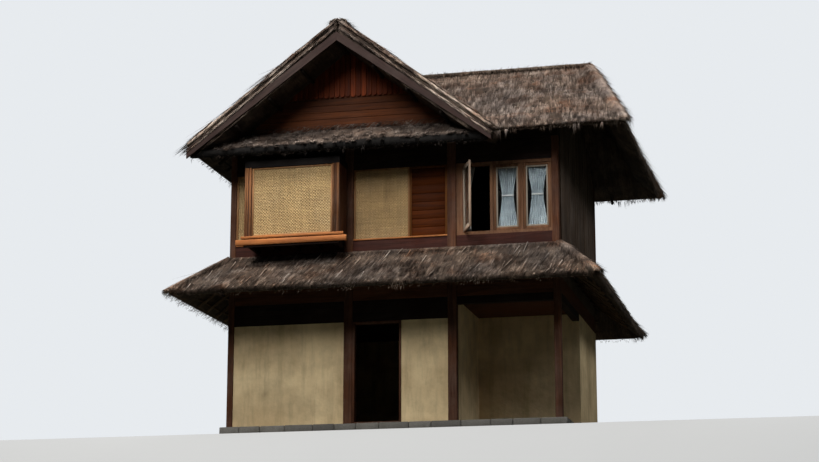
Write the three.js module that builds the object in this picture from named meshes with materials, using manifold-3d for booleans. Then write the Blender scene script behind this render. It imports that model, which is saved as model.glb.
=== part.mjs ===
// Two-storey timber house with thatched roofs: a front gable over a projecting
// bay, a lower wing with a steep hip on the right, and a thatched skirt roof
// round the wall between the storeys. Millimetres, +Z up.
//
// The house is laid out in its own plan frame: x runs along the front from the
// middle of the gable, y runs into the house from the front wall, z is height
// above the ground. The last lines move it so that the middle of its footprint
// is at the origin.

import * as THREE from "three";
import { ConvexGeometry } from "three/addons/geometries/ConvexGeometry.js";
import { mergeVertices } from "three/addons/utils/BufferGeometryUtils.js";
import Module from "manifold-3d";

const wasm = await Module();
wasm.setup();

// Driving dimensions: plan
const LEFT = -2310;
const RIGHT = 4030;
const DEPTH = 4600;
const PORCH_DEPTH = 2300;
const GAP = 0.3;

// Driving dimensions: heights
const PLINTH_TOP = 200;
const PANEL_TOP = 2100;
const LINTEL_BOTTOM = 2360;
const BEAM_BOTTOM = 2500;
const FLOOR_TOP = 2800;
const SILL_BOTTOM = 3430;
const SILL_TOP = 3650;
const HEAD = 5030;
const PLATE_BOTTOM = 5450;
const PLATE_TOP = 5600;

// Driving dimensions: timber sections
const POST_DEPTH = 150;
const CHAMFER = 12;
const BEAM_SETBACK = 20;
const BEAM_BACK = 190;
const WALL = 80;
const GROUND_WALL = 120;

// Posts along the front, each running from the plinth to under the plate
const POSTS = {
  left: [LEFT, LEFT + 120],
  middle: [-50, 120],
  wing: [1930, 2100],
  right: [RIGHT - 130, RIGHT],
};

// Driving dimensions: roofs
const GABLE_FOOT = 2900;
const GABLE_FOOT_TOP = 5560;
const GABLE_FOOT_UNDER = 5320;
const GABLE_RISE = 0.767;
const GABLE_UNDER_APEX = 7372;
const VERGE = 800;
const BARGE_THICKNESS = 40;
const MAIN_EAVE = 700;
const MAIN_NOSE_TOP = 5460;
const MAIN_NOSE_UNDER = 5400;
const MAIN_RIDGE = 7520;
const MAIN_UNDER_RIDGE = 7180;
const HIP_EAVE = 5350;
const HIP_RIDGE_END = 4310;
const HIP_THICKNESS = 300;
const SKIRT_FRONT_RUN = 1100;
const SKIRT_SIDE_RUN = 850;
const SKIRT_TOP = SILL_BOTTOM;
const SKIRT_UNDER = 3130;
const SKIRT_NOSE_TOP = 2620;
const SKIRT_NOSE_UNDER = 2500;
const PENT = { noseUnder: 5210, noseTop: 5340, wallTop: 5870 };
const BARGE = { foot: GABLE_FOOT + 30, footUnder: 5220, apexUnder: 7340, height: 170 };
const BELOW_EAVES = 5000;
const ABOVE_ROOF = 8000;

const finish = (color, roughness) => new THREE.MeshStandardMaterial({ color, roughness, metalness: 0 });
const THATCH = finish(0x8a7a68, 1.0);
const TIMBER = finish(0x6b4a3a, 0.8);
const DARK_TIMBER = finish(0x4a2c22, 0.85);
const ORANGE_TIMBER = finish(0xb06a34, 0.6);
const BOARDS = finish(0x8a5a3c, 0.8);
const GREY_BOARDS = finish(0x75685c, 0.9);
const MATTING = finish(0xc2a577, 0.9);
const LOUVRE = finish(0xa8752e, 0.6);
const SASH = finish(0x9a6b50, 0.6);
const SHEER = finish(0xc9d6da, 0.9);
const CURTAIN = finish(0xc8b89c, 0.9);
const PLASTER = finish(0xb9a98c, 0.95);
const STONE = finish(0x77746c, 0.9);

const house = new THREE.Group();
house.name = "house";

function addMesh(name, geometry, material) {
  const mesh = new THREE.Mesh(geometry, material);
  mesh.name = name;
  house.add(mesh);
  return mesh;
}

// A box given by its range along each axis
function boxGeometry([x0, x1], [y0, y1], [z0, z1]) {
  const geometry = new THREE.BoxGeometry(x1 - x0, y1 - y0, z1 - z0);
  return geometry.translate((x0 + x1) / 2, (y0 + y1) / 2, (z0 + z1) / 2);
}

function addBox(name, x, y, z, material) {
  return addMesh(name, boxGeometry(x, y, z), material);
}

const AXIS = {
  x: new THREE.Vector3(1, 0, 0),
  y: new THREE.Vector3(0, 1, 0),
  z: new THREE.Vector3(0, 0, 1),
};

function extrude(outline, length) {
  const shape = new THREE.Shape(outline.map(([u, v]) => new THREE.Vector2(u, v)));
  return new THREE.ExtrudeGeometry(shape, { depth: length, bevelEnabled: false });
}

// An outline in (x, z) swept along y
function alongY(outline, [y0, y1]) {
  const turn = new THREE.Matrix4().makeBasis(AXIS.x, AXIS.z, AXIS.y.clone().negate());
  return extrude(outline, y1 - y0).applyMatrix4(turn).translate(0, y1, 0);
}

// An outline in (y, z) swept along x
function alongX(outline, [x0, x1]) {
  const turn = new THREE.Matrix4().makeBasis(AXIS.y, AXIS.z, AXIS.x);
  return extrude(outline, x1 - x0).applyMatrix4(turn).translate(x0, 0, 0);
}

// An outline in (x, y) swept along z
function alongZ(outline, [z0, z1]) {
  return extrude(outline, z1 - z0).translate(0, 0, z0);
}

function hull(points) {
  return new ConvexGeometry(points.map(([x, y, z]) => new THREE.Vector3(x, y, z)));
}

// A closed geometry as a solid that can be cut and joined
function toSolid(geometry) {
  const bare = geometry.clone();
  bare.deleteAttribute("normal");
  bare.deleteAttribute("uv");
  const merged = mergeVertices(bare, 1e-3);
  const vertProperties = new Float32Array(merged.attributes.position.array);
  const triVerts = new Uint32Array(merged.index.array);
  return new wasm.Manifold(new wasm.Mesh({ numProp: 3, vertProperties, triVerts }));
}

function toGeometry(solid) {
  const { vertProperties, triVerts } = solid.getMesh();
  const geometry = new THREE.BufferGeometry();
  geometry.setAttribute("position", new THREE.BufferAttribute(vertProperties, 3));
  geometry.setIndex(new THREE.BufferAttribute(triVerts, 1));
  geometry.computeVertexNormals();
  return geometry;
}

const boxSolid = (x, y, z) => toSolid(boxGeometry(x, y, z));

function joined(solids) {
  return solids.reduce((whole, next) => whole.add(next));
}

// A post with chamfered corners
function addPost(name, [x0, x1], [y0, y1], z, material) {
  const c = CHAMFER;
  const outline = [
    [x0 + c, y0], [x1 - c, y0], [x1, y0 + c], [x1, y1 - c],
    [x1 - c, y1], [x0 + c, y1], [x0, y1 - c], [x0, y0 + c],
  ];
  return addMesh(name, alongZ(outline, z), material);
}

// Ground floor: stone plinth, plastered walls and an open porch under the wing

function addGroundFloor() {
  const plinthLip = 100;
  const doorRight = 1050;
  const frontWall = [BEAM_SETBACK, BEAM_SETBACK + GROUND_WALL];
  const wallHeight = [PLINTH_TOP, BEAM_BOTTOM];
  const wingWall = [POSTS.wing[0], POSTS.wing[0] + GROUND_WALL];
  const porchBack = [PORCH_DEPTH, PORCH_DEPTH + GROUND_WALL];

  addBox(
    "plinth",
    [LEFT - plinthLip, RIGHT + plinthLip],
    [-plinthLip, DEPTH + plinthLip],
    [0, PLINTH_TOP],
    STONE,
  );
  const frontPanels = {
    ground_front_wall_left: [POSTS.left[1], POSTS.middle[0]],
    ground_front_wall_right: [doorRight, POSTS.wing[0]],
  };
  for (const [name, x] of Object.entries(frontPanels)) {
    addBox(name, x, frontWall, [PLINTH_TOP, PANEL_TOP], PLASTER);
  }

  // The transom runs behind the middle post, which is let into it
  const behindPost = [POST_DEPTH, BEAM_BACK];
  const overPanels = [PANEL_TOP, BEAM_BOTTOM];
  const transom = joined([
    boxSolid([POSTS.left[1], POSTS.wing[0]], behindPost, overPanels),
    boxSolid([POSTS.left[1], POSTS.middle[0]], [BEAM_SETBACK, POST_DEPTH], overPanels),
    boxSolid([POSTS.middle[1], POSTS.wing[0]], [BEAM_SETBACK, POST_DEPTH], overPanels),
  ]);
  addMesh("ground_transom_beam", toGeometry(transom), DARK_TIMBER);

  const overPorch = [LINTEL_BOTTOM, BEAM_BOTTOM];
  addBox("porch_front_lintel", [POSTS.wing[1], POSTS.right[0]], [BEAM_SETBACK, POST_DEPTH], overPorch, DARK_TIMBER);
  addBox("porch_side_lintel", POSTS.right, [POST_DEPTH, PORCH_DEPTH], overPorch, DARK_TIMBER);

  addBox("ground_left_wall", [LEFT, LEFT + GROUND_WALL], [POST_DEPTH, DEPTH], wallHeight, PLASTER);
  addBox("ground_back_wall", [LEFT + GROUND_WALL, RIGHT - GROUND_WALL], [DEPTH - GROUND_WALL, DEPTH], wallHeight, PLASTER);
  addBox("ground_right_wall", [RIGHT - GROUND_WALL, RIGHT], [PORCH_DEPTH, DEPTH], wallHeight, PLASTER);
  addBox("porch_side_wall", wingWall, [BEAM_BACK, PORCH_DEPTH + GROUND_WALL], wallHeight, PLASTER);
  addBox("porch_back_wall", [wingWall[1], RIGHT - GROUND_WALL], porchBack, wallHeight, PLASTER);
}

// Floor between the storeys: boards, joists and ceiling as one thick slab, cut
// round the front posts

function addUpperFloor() {
  const beyond = 50;
  const height = [BEAM_BOTTOM, FLOOR_TOP];
  const cuts = Object.values(POSTS).map((x) => (
    boxSolid(x, [-beyond, POST_DEPTH], [BEAM_BOTTOM - beyond, FLOOR_TOP + beyond])
  ));
  const floor = boxSolid([LEFT, RIGHT], [0, DEPTH], height).subtract(joined(cuts));
  addMesh("upper_floor", toGeometry(floor), TIMBER);
}

// Front frame: full-height posts, sill wall and head beam let in round them

function addFrontFrame() {
  for (const [name, x] of Object.entries(POSTS)) {
    addPost(`front_post_${name}`, x, [0, POST_DEPTH], [PLINTH_TOP, PLATE_BOTTOM], TIMBER);
  }
  const between = [
    [POSTS.left[1], POSTS.middle[0]],
    [POSTS.middle[1], POSTS.wing[0]],
    [POSTS.wing[1], POSTS.right[0]],
  ];
  const inFront = [BEAM_SETBACK, POST_DEPTH];
  const behind = [POST_DEPTH, BEAM_BACK];
  const full = [POSTS.left[1], POSTS.right[0]];

  const sill = joined([
    boxSolid(full, behind, [FLOOR_TOP, SILL_TOP]),
    ...between.map((x) => boxSolid(x, inFront, [SILL_BOTTOM, SILL_TOP])),
  ]);
  addMesh("front_sill_wall", toGeometry(sill), TIMBER);

  const head = joined([
    boxSolid(full, behind, [HEAD, PLATE_BOTTOM]),
    ...between.map((x) => boxSolid(x, inFront, [HEAD, PLATE_BOTTOM])),
    boxSolid([LEFT, RIGHT], [0, BEAM_BACK], [PLATE_BOTTOM, PLATE_TOP]),
  ]);
  addMesh("front_head_beam", toGeometry(head.subtract(gableCutter(GAP))), DARK_TIMBER);
}

const GABLE_APEX = GABLE_FOOT_TOP + GABLE_FOOT * GABLE_RISE;
const RIDGE_JOINT = GAP / 2;

// Everything under the gable roof's outer faces, as an outline in (x, z)
function gableOutline(lift) {
  const foot = GABLE_FOOT + lift;
  return [
    [-foot, BELOW_EAVES], [foot, BELOW_EAVES], [foot, GABLE_FOOT_TOP + lift],
    [0, GABLE_APEX + lift], [-foot, GABLE_FOOT_TOP + lift],
  ];
}

// One slope of the gable roof as an outline in (x, z); side is 1 or -1
function gableSlope(side, gap) {
  const foot = side * (GABLE_FOOT + gap);
  return [
    [side * RIDGE_JOINT, GABLE_UNDER_APEX - gap], [side * -LEFT, PLATE_TOP + GAP - gap],
    [foot, GABLE_FOOT_UNDER - gap], [foot, GABLE_FOOT_TOP], [side * RIDGE_JOINT, GABLE_APEX],
  ];
}

// The right slope with a little room under it, to cut the timber that it crosses
function gableCutter(gap) {
  return toSolid(alongY(gableSlope(1, gap), [-VERGE, DEPTH + VERGE]));
}

// Left front: matting strip, then a box bay that stands out over the skirt roof

const BAY = {
  x: [-1850, 0],
  front: -550,
  post: 140,
  railBottom: 3470,
  floorBottom: 3500,
  floorTop: 3700,
  railProud: 50,
  railEnds: 150,
  panel: 30,
  blindSetback: 20,
  roofThickness: 130,
  opening: [-1750, -50],
};

function addBay() {
  const [x0, x1] = BAY.x;
  const inner = BEAM_SETBACK;
  const floorHeight = [BAY.floorBottom, BAY.floorTop];
  const floor = joined([
    boxSolid([x0, x1], [BAY.front, 0], floorHeight),
    boxSolid([x0, BAY.opening[1]], [BAY.front, inner], floorHeight),
    boxSolid(
      [x0 - BAY.railEnds, x1 + BAY.railEnds],
      [BAY.front - BAY.railProud, BAY.front],
      [BAY.railBottom, BAY.floorTop],
    ),
  ]);
  addMesh("bay_floor", toGeometry(floor), ORANGE_TIMBER);

  const height = [BAY.floorTop, HEAD];
  const backOfPost = BAY.front + BAY.post;
  const sides = {
    bay_side_left: { post: [x0, x0 + BAY.post], panel: [x0, x0 + BAY.panel], back: inner },
    bay_side_right: { post: [x1 - BAY.post, x1], panel: [x1 - BAY.panel, x1], back: 0 },
  };
  for (const [name, side] of Object.entries(sides)) {
    const solid = joined([
      boxSolid(side.post, [BAY.front, backOfPost], height),
      boxSolid(side.panel, [backOfPost, side.back], height),
    ]);
    addMesh(name, toGeometry(solid), TIMBER);
  }
  const blindFace = BAY.front + BAY.blindSetback;
  const blindDepth = [blindFace, blindFace + BAY.panel];
  addBox("bay_blind", [x0 + BAY.post, x1 - BAY.post], blindDepth, height, MATTING);
  addBox("bay_roof", [x0, x1], [BAY.front, 0], [HEAD, HEAD + BAY.roofThickness], TIMBER);
}

function addFrontPanels() {
  const height = [SILL_TOP, HEAD];
  const shutterLeft = 1200;
  addBox("front_matting_strip", [POSTS.left[1], BAY.opening[0]], [BEAM_SETBACK, 60], height, MATTING);
  addBox("front_matting_panel", [POSTS.middle[1], shutterLeft], [50, 80], height, MATTING);
  addBox("front_louvre_shutter", [shutterLeft, POSTS.wing[0]], [40, 90], height, LOUVRE);
}

// Right front: a window of three lights, the left sash swung open outwards

const WINDOW = {
  x: [POSTS.wing[1], POSTS.right[0]],
  y: [30, 130],
  lights: [[2220, 2740], [2800, 3320], [3360, 3880]],
  z: [3710, 4970],
  stile: 55,
  sashDepth: [50, 85],
  pane: 6,
  openAngle: 65,
};

// A sash with its pane, lying in (width, depth, height) from its hinge corner
function sashSolid(width, height) {
  const thickness = WINDOW.sashDepth[1] - WINDOW.sashDepth[0];
  const s = WINDOW.stile;
  const middle = thickness / 2;
  const inside = [s, width - s];
  const rails = [s, height - s];
  return boxSolid([0, width], [0, thickness], [0, height])
    .subtract(boxSolid(inside, [-1, middle - WINDOW.pane / 2], rails))
    .subtract(boxSolid(inside, [middle + WINDOW.pane / 2, thickness + 1], rails));
}

function addWindow() {
  const [z0, z1] = WINDOW.z;
  const frame = WINDOW.lights.reduce(
    (solid, x) => solid.subtract(boxSolid(x, [WINDOW.y[0] - 1, WINDOW.y[1] + 1], [z0, z1])),
    boxSolid(WINDOW.x, WINDOW.y, [SILL_TOP, HEAD]),
  );
  addMesh("front_window_frame", toGeometry(frame), SASH);

  const width = WINDOW.lights[0][1] - WINDOW.lights[0][0] - 2 * GAP;
  const height = z1 - z0 - 2 * GAP;
  const sash = toGeometry(sashSolid(width, height));
  const closed = { front_sash_middle: WINDOW.lights[1], front_sash_right: WINDOW.lights[2] };
  for (const [name, light] of Object.entries(closed)) {
    addMesh(name, sash, SASH).position.set(light[0] + GAP, WINDOW.sashDepth[0], z0 + GAP);
  }
  const open = addMesh("front_sash_open", sash, SASH);
  open.position.set(WINDOW.lights[0][0] + GAP, WINDOW.sashDepth[0], z0 + GAP);
  open.rotation.z = -THREE.MathUtils.degToRad(WINDOW.openAngle);

  addCurtains();
}

// Sheer sash curtains drawn in at the waist, and one curtain tied to the left
function addCurtains() {
  const [z0, z1] = WINDOW.z;
  const hem = WINDOW.stile - 15;
  const bottom = z0 + hem;
  const top = z1 - hem;
  const waistHeight = (bottom + top) / 2;
  const fold = 16;
  const depth = [WINDOW.sashDepth[1] + GAP, WINDOW.sashDepth[1] + GAP + fold];
  const sheers = { sheer_curtain_middle: WINDOW.lights[1], sheer_curtain_right: WINDOW.lights[2] };
  for (const [name, light] of Object.entries(sheers)) {
    const middle = (light[0] + light[1]) / 2;
    const half = 200;
    const waist = 95;
    const outline = [
      [middle - half, bottom], [middle + half, bottom], [middle + waist, waistHeight],
      [middle + half, top], [middle - half, top], [middle - waist, waistHeight],
    ];
    addMesh(name, alongY(outline, depth), SHEER);
  }
  const hung = [BEAM_BACK + GAP, BEAM_BACK + GAP + 40];
  const left = WINDOW.lights[0][0];
  const tied = [
    [left - 40, SILL_TOP + 120], [left + 60, SILL_TOP + 120], [left + 70, 4050],
    [left + 190, 4700], [left + 220, HEAD + 60], [left - 40, HEAD + 60],
  ];
  addMesh("tied_curtain", alongY(tied, hung), CURTAIN);
}

// Side and back walls of upright boards, with a shuttered window at the back

const BACK_WINDOW = { x: [-700, 700], z: [SILL_TOP, 4930] };

function addUpperWalls() {
  const height = [FLOOR_TOP, PLATE_TOP];
  addBox("upper_left_wall", [LEFT, LEFT + WALL], [BEAM_BACK, DEPTH], height, GREY_BOARDS);

  const slope = (MAIN_UNDER_RIDGE - PLATE_TOP) / (DEPTH / 2);
  const shy = 2 * GAP;
  const rightOutline = [
    [BEAM_BACK, FLOOR_TOP], [DEPTH, FLOOR_TOP], [DEPTH, PLATE_TOP],
    [DEPTH / 2, MAIN_UNDER_RIDGE - shy], [BEAM_BACK, PLATE_TOP + slope * BEAM_BACK - shy],
  ];
  addMesh("upper_right_wall", alongX(rightOutline, [RIGHT - WALL, RIGHT]), GREY_BOARDS);

  const backDepth = [DEPTH - WALL, DEPTH];
  const opening = boxSolid(BACK_WINDOW.x, [backDepth[0] - 1, backDepth[1] + 1], BACK_WINDOW.z);
  const back = boxSolid([LEFT + WALL, RIGHT - WALL], backDepth, height)
    .subtract(opening)
    .subtract(gableCutter(GAP));
  addMesh("upper_back_wall", toGeometry(back), GREY_BOARDS);
  addBox("back_louvre_shutters", BACK_WINDOW.x, [backDepth[0] + 10, backDepth[1] - 20], BACK_WINDOW.z, LOUVRE);
}

// Gable roof over the left rooms, ridge running from front to back

function addGableRoof() {
  const run = [-VERGE, DEPTH + VERGE];
  addMesh("gable_roof_left", alongY(gableSlope(-1, 0), run), THATCH);
  addMesh("gable_roof_right", alongY(gableSlope(1, 0), run), THATCH);

  const shy = 2 * GAP;
  const pediment = [[LEFT, PLATE_TOP], [-LEFT, PLATE_TOP], [0, GABLE_UNDER_APEX - shy]];
  addMesh("front_pediment", alongY(pediment, [BEAM_SETBACK, WALL]), BOARDS);
  addMesh("back_pediment", alongY(pediment, [DEPTH - WALL, DEPTH - BEAM_SETBACK]), BOARDS);

  // Barge boards on the cut ends of the thatch
  const ends = { front: [-VERGE - BARGE_THICKNESS, -VERGE], back: [DEPTH + VERGE, DEPTH + VERGE + BARGE_THICKNESS] };
  for (const [end, depth] of Object.entries(ends)) {
    for (const [sideName, side] of [["left", -1], ["right", 1]]) {
      const board = [
        [side * RIDGE_JOINT, BARGE.apexUnder], [side * BARGE.foot, BARGE.footUnder],
        [side * BARGE.foot, BARGE.footUnder + BARGE.height], [side * RIDGE_JOINT, BARGE.apexUnder + BARGE.height],
      ];
      addMesh(`${end}_bargeboard_${sideName}`, alongY(board, depth), TIMBER);
    }
  }

  // Thatched pent strip under the pediment, between the two slopes
  const nose = -VERGE + BARGE_THICKNESS;
  const face = BEAM_SETBACK - GAP;
  const pent = [
    [nose, PENT.noseUnder], [-GAP, PLATE_TOP + GAP], [face, PLATE_TOP + GAP],
    [face, PENT.wallTop], [nose, PENT.noseTop],
  ];
  const under = [
    [shy - GABLE_FOOT, BELOW_EAVES], [GABLE_FOOT - shy, BELOW_EAVES], [GABLE_FOOT - shy, GABLE_FOOT_UNDER - shy],
    [-LEFT, PLATE_TOP - shy], [0, GABLE_UNDER_APEX - shy], [LEFT, PLATE_TOP - shy],
    [shy - GABLE_FOOT, GABLE_FOOT_UNDER - shy],
  ];
  const strip = toSolid(alongX(pent, [-GABLE_FOOT, GABLE_FOOT]))
    .intersect(toSolid(alongY(under, [-VERGE, WALL])));
  addMesh("front_pent_roof", toGeometry(strip), THATCH);
}

// Wing roof: ridge along the front, steep hip at its right end, and its left
// end laid against the gable roof's slope

function addMainRoof() {
  const front = -MAIN_EAVE;
  const back = DEPTH + MAIN_EAVE;
  const middle = DEPTH / 2;
  const kink = PLATE_TOP + GAP;
  const hipSlope = (MAIN_RIDGE - MAIN_NOSE_TOP) / (HIP_EAVE - HIP_RIDGE_END);
  const hipKink = HIP_EAVE - (kink - MAIN_NOSE_TOP) / hipSlope - HIP_THICKNESS;
  const hipUnderRidge = hipKink - (MAIN_UNDER_RIDGE - kink) / hipSlope;
  const outer = toSolid(hull([
    ...[front, back].flatMap((y) => [[0, y, MAIN_NOSE_UNDER], [HIP_EAVE, y, MAIN_NOSE_UNDER]]),
    ...[front, back].flatMap((y) => [[0, y, MAIN_NOSE_TOP], [HIP_EAVE, y, MAIN_NOSE_TOP]]),
    [0, middle, MAIN_RIDGE], [HIP_RIDGE_END, middle, MAIN_RIDGE],
  ]));
  const beyond = -100;
  const attic = toSolid(hull([
    ...[0, DEPTH].flatMap((y) => [[beyond, y, kink], [hipKink, y, kink]]),
    ...[0, DEPTH].flatMap((y) => [[beyond, y, MAIN_NOSE_UNDER], [hipKink, y, MAIN_NOSE_UNDER]]),
    [beyond, middle, MAIN_UNDER_RIDGE], [hipUnderRidge, middle, MAIN_UNDER_RIDGE],
  ]));
  const eaves = toSolid(hull([
    ...[0, DEPTH].flatMap((y) => [[beyond, y, kink], [hipKink, y, kink]]),
    ...[front, back].flatMap((y) => [[beyond, y, MAIN_NOSE_UNDER], [HIP_EAVE, y, MAIN_NOSE_UNDER]]),
  ]));
  const shell = outer
    .subtract(joined([attic, eaves]))
    .subtract(toSolid(alongY(gableOutline(GAP), [-2 * VERGE, DEPTH + 2 * VERGE])));

  // The shell is parted over the ridge and down the two hips
  const reach = 2;
  const out = (HIP_EAVE - HIP_RIDGE_END) * reach;
  const side = (middle - front) * reach;
  const high = [BELOW_EAVES, ABOVE_ROOF];
  const hipWedge = (gap) => toSolid(alongZ([
    [HIP_RIDGE_END - gap, middle], [HIP_RIDGE_END - gap + out, middle - side], [HIP_RIDGE_END - gap + out, middle + side],
  ], high));
  const half = (y) => boxSolid([beyond, HIP_EAVE - beyond], y, high);
  addMesh("wing_roof_hip", toGeometry(shell.intersect(hipWedge(-GAP))), THATCH);
  const slopes = shell.subtract(hipWedge(GAP));
  addMesh("wing_roof_front", toGeometry(slopes.intersect(half([front + beyond, middle - GAP]))), THATCH);
  addMesh("wing_roof_back", toGeometry(slopes.intersect(half([middle + GAP, back - beyond]))), THATCH);
}

// Skirt roof between the storeys: four slabs, mitred at the corners

function addSkirtRoof() {
  const eave = {
    x: [LEFT - SKIRT_SIDE_RUN, RIGHT + SKIRT_SIDE_RUN],
    y: [-SKIRT_FRONT_RUN, DEPTH + SKIRT_FRONT_RUN],
  };
  const wall = { x: [LEFT, RIGHT], y: [0, DEPTH] };
  const slab = (wallEnds, eaveEnds) => hull([
    ...wallEnds.flatMap(([x, y]) => [[x, y, SKIRT_TOP], [x, y, SKIRT_UNDER]]),
    ...eaveEnds.flatMap(([x, y]) => [[x, y, SKIRT_NOSE_TOP], [x, y, SKIRT_NOSE_UNDER]]),
  ]);
  for (const [name, i] of [["front", 0], ["back", 1]]) {
    const wallEnds = wall.x.map((x) => [x, wall.y[i]]);
    const eaveEnds = eave.x.map((x) => [x, eave.y[i]]);
    addMesh(`skirt_roof_${name}`, slab(wallEnds, eaveEnds), THATCH);
  }
  for (const [name, i] of [["left", 0], ["right", 1]]) {
    const wallEnds = [[wall.x[i], wall.y[0] + GAP], [wall.x[i], wall.y[1] - GAP]];
    const eaveEnds = [[eave.x[i], eave.y[0] + GAP], [eave.x[i], eave.y[1] - GAP]];
    addMesh(`skirt_roof_${name}`, slab(wallEnds, eaveEnds), THATCH);
  }
}

addGroundFloor();
addUpperFloor();
addFrontFrame();
addBay();
addFrontPanels();
addWindow();
addUpperWalls();
addGableRoof();
addMainRoof();
addSkirtRoof();

// The middle of the footprint goes to the origin
const footprint = { x: [LEFT - SKIRT_SIDE_RUN, HIP_EAVE], y: [-SKIRT_FRONT_RUN, DEPTH + SKIRT_FRONT_RUN] };
house.position.set(-(footprint.x[0] + footprint.x[1]) / 2, -(footprint.y[0] + footprint.y[1]) / 2, 0);

export default house;
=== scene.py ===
# %% [markdown]
# A thatched timber house, dressed over its finished construction model. The model arrives
# with every wall, post and roof slope at its real place and size. This script gives each of
# them the surface of the real thing: straw, sawn boards, woven bamboo, cloth and plaster.

# %% Load the construction model
import math
import random

import bmesh
import bpy
import numpy as np
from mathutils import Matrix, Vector, noise


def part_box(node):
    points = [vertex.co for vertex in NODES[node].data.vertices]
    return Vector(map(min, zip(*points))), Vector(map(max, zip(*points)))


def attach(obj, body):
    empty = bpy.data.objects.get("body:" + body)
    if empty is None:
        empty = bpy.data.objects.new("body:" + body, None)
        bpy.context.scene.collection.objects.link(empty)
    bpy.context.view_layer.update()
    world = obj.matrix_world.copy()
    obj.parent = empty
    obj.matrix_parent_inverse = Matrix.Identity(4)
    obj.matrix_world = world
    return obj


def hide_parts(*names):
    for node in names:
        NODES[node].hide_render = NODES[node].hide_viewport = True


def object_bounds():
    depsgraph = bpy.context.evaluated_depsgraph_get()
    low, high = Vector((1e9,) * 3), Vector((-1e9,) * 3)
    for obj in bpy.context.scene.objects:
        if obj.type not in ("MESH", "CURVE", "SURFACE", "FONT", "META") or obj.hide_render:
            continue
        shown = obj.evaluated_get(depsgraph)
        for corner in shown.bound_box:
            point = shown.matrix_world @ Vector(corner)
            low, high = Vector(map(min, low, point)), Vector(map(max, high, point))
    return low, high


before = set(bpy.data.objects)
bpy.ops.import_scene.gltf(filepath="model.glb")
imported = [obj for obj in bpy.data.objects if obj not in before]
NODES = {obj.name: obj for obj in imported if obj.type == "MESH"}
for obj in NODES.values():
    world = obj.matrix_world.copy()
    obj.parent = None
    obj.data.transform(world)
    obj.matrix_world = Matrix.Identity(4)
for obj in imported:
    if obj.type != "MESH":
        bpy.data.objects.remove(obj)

MODEL_LOW, MODEL_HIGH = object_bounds()
print("model box", [round(c, 3) for c in (*MODEL_LOW, *MODEL_HIGH)])

# %% [markdown]
# The picture is taken from a place well below the house, so the camera looks up by about
# thirteen degrees. It stands far away and uses a long lens, which keeps the gable and the
# side wing at almost the same scale.

# %% Camera
CAMERA_PLACE = (8.152, -36.086, -4.305)
CAMERA_RISE = 13.1
CAMERA_TURN = 13.38
CAMERA_LENS = 84.0
CAMERA_SIGHT = 500.0

camera = bpy.data.objects.new("camera", bpy.data.cameras.new("camera"))
bpy.context.scene.collection.objects.link(camera)
camera.location = CAMERA_PLACE
camera.rotation_euler = (math.radians(90 + CAMERA_RISE), 0, math.radians(CAMERA_TURN))
camera.data.lens = CAMERA_LENS
camera.data.clip_end = CAMERA_SIGHT
bpy.context.scene.camera = camera
print("camera looks up", CAMERA_RISE, "degrees with a lens of", CAMERA_LENS, "mm")

# %% [markdown]
# A thatched house reads by its deep eaves: the slopes are bright and all under them is nearly
# black. One large lamp overhead gives that, a wide faint one reaches the walls, and two more
# keep the sides and the back readable. The world is pale for the camera and dim as a light.

# %% Lamps and the world
LAMPS = {
    "key": ((-4.5, -12.5, 27.0), 9.0, 7800.0, (1.0, 0.97, 0.93)),
    "front": ((-5.0, -24.0, 20.0), 13.0, 4600.0, (0.97, 0.98, 1.0)),
    "side": ((22.0, -4.0, 15.0), 9.0, 1300.0, (0.93, 0.96, 1.0)),
    "back": ((-6.0, 22.0, 18.0), 10.0, 3000.0, (0.95, 0.97, 1.0)),
}
LAMP_TARGET = Vector((-0.4, 0.0, 4.0))
WORLD_SEEN = (0.80, 0.83, 0.86, 1.0)
WORLD_SEEN_STRENGTH = 1.0
WORLD_LIGHT_STRENGTH = 0.07


def add_lamp(name, place, size, power, colour):
    data = bpy.data.lights.new(name, "AREA")
    data.shape = "DISK"
    data.size = size
    data.energy = power
    data.color = colour
    lamp = bpy.data.objects.new(name, data)
    bpy.context.scene.collection.objects.link(lamp)
    lamp.location = place
    lamp.rotation_euler = (LAMP_TARGET - Vector(place)).to_track_quat("-Z", "Y").to_euler()


def make_world():
    world = bpy.data.worlds.new("studio")
    world.use_nodes = True
    tree = world.node_tree
    background = tree.nodes["Background"]
    background.inputs["Color"].default_value = WORLD_SEEN
    rays = tree.nodes.new("ShaderNodeLightPath")
    strength = tree.nodes.new("ShaderNodeMix")
    strength.inputs[2].default_value = WORLD_LIGHT_STRENGTH
    strength.inputs[3].default_value = WORLD_SEEN_STRENGTH
    tree.links.new(rays.outputs["Is Camera Ray"], strength.inputs[0])
    tree.links.new(strength.outputs[0], background.inputs["Strength"])
    bpy.context.scene.world = world


for lamp_name, lamp_values in LAMPS.items():
    add_lamp(lamp_name, *lamp_values)
make_world()
bpy.context.scene.view_settings.view_transform = "Standard"
print("lamps:", ", ".join(LAMPS))

# %% [markdown]
# Materials are built from small node calls. A helper that makes a node and fills or links its
# inputs in one line keeps each material short enough to read as a recipe.

# %% Node helpers


def add_node(tree, kind, inputs=None, **settings):
    """A node with its options set, and each input given a value or a link."""
    made = tree.nodes.new(kind)
    for key, value in settings.items():
        setattr(made, key, value)
    for key, value in (inputs or {}).items():
        if isinstance(value, bpy.types.NodeSocket):
            tree.links.new(value, made.inputs[key])
        else:
            made.inputs[key].default_value = value
    return made


def maths(tree, operation, first, second=0.0):
    return add_node(tree, "ShaderNodeMath", {0: first, 1: second}, operation=operation).outputs[0]


def mixed(tree, factor, first, second, blend="MIX"):
    sockets = {0: factor, 6: first, 7: second}
    return add_node(tree, "ShaderNodeMix", sockets, data_type="RGBA", blend_type=blend).outputs[2]


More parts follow.
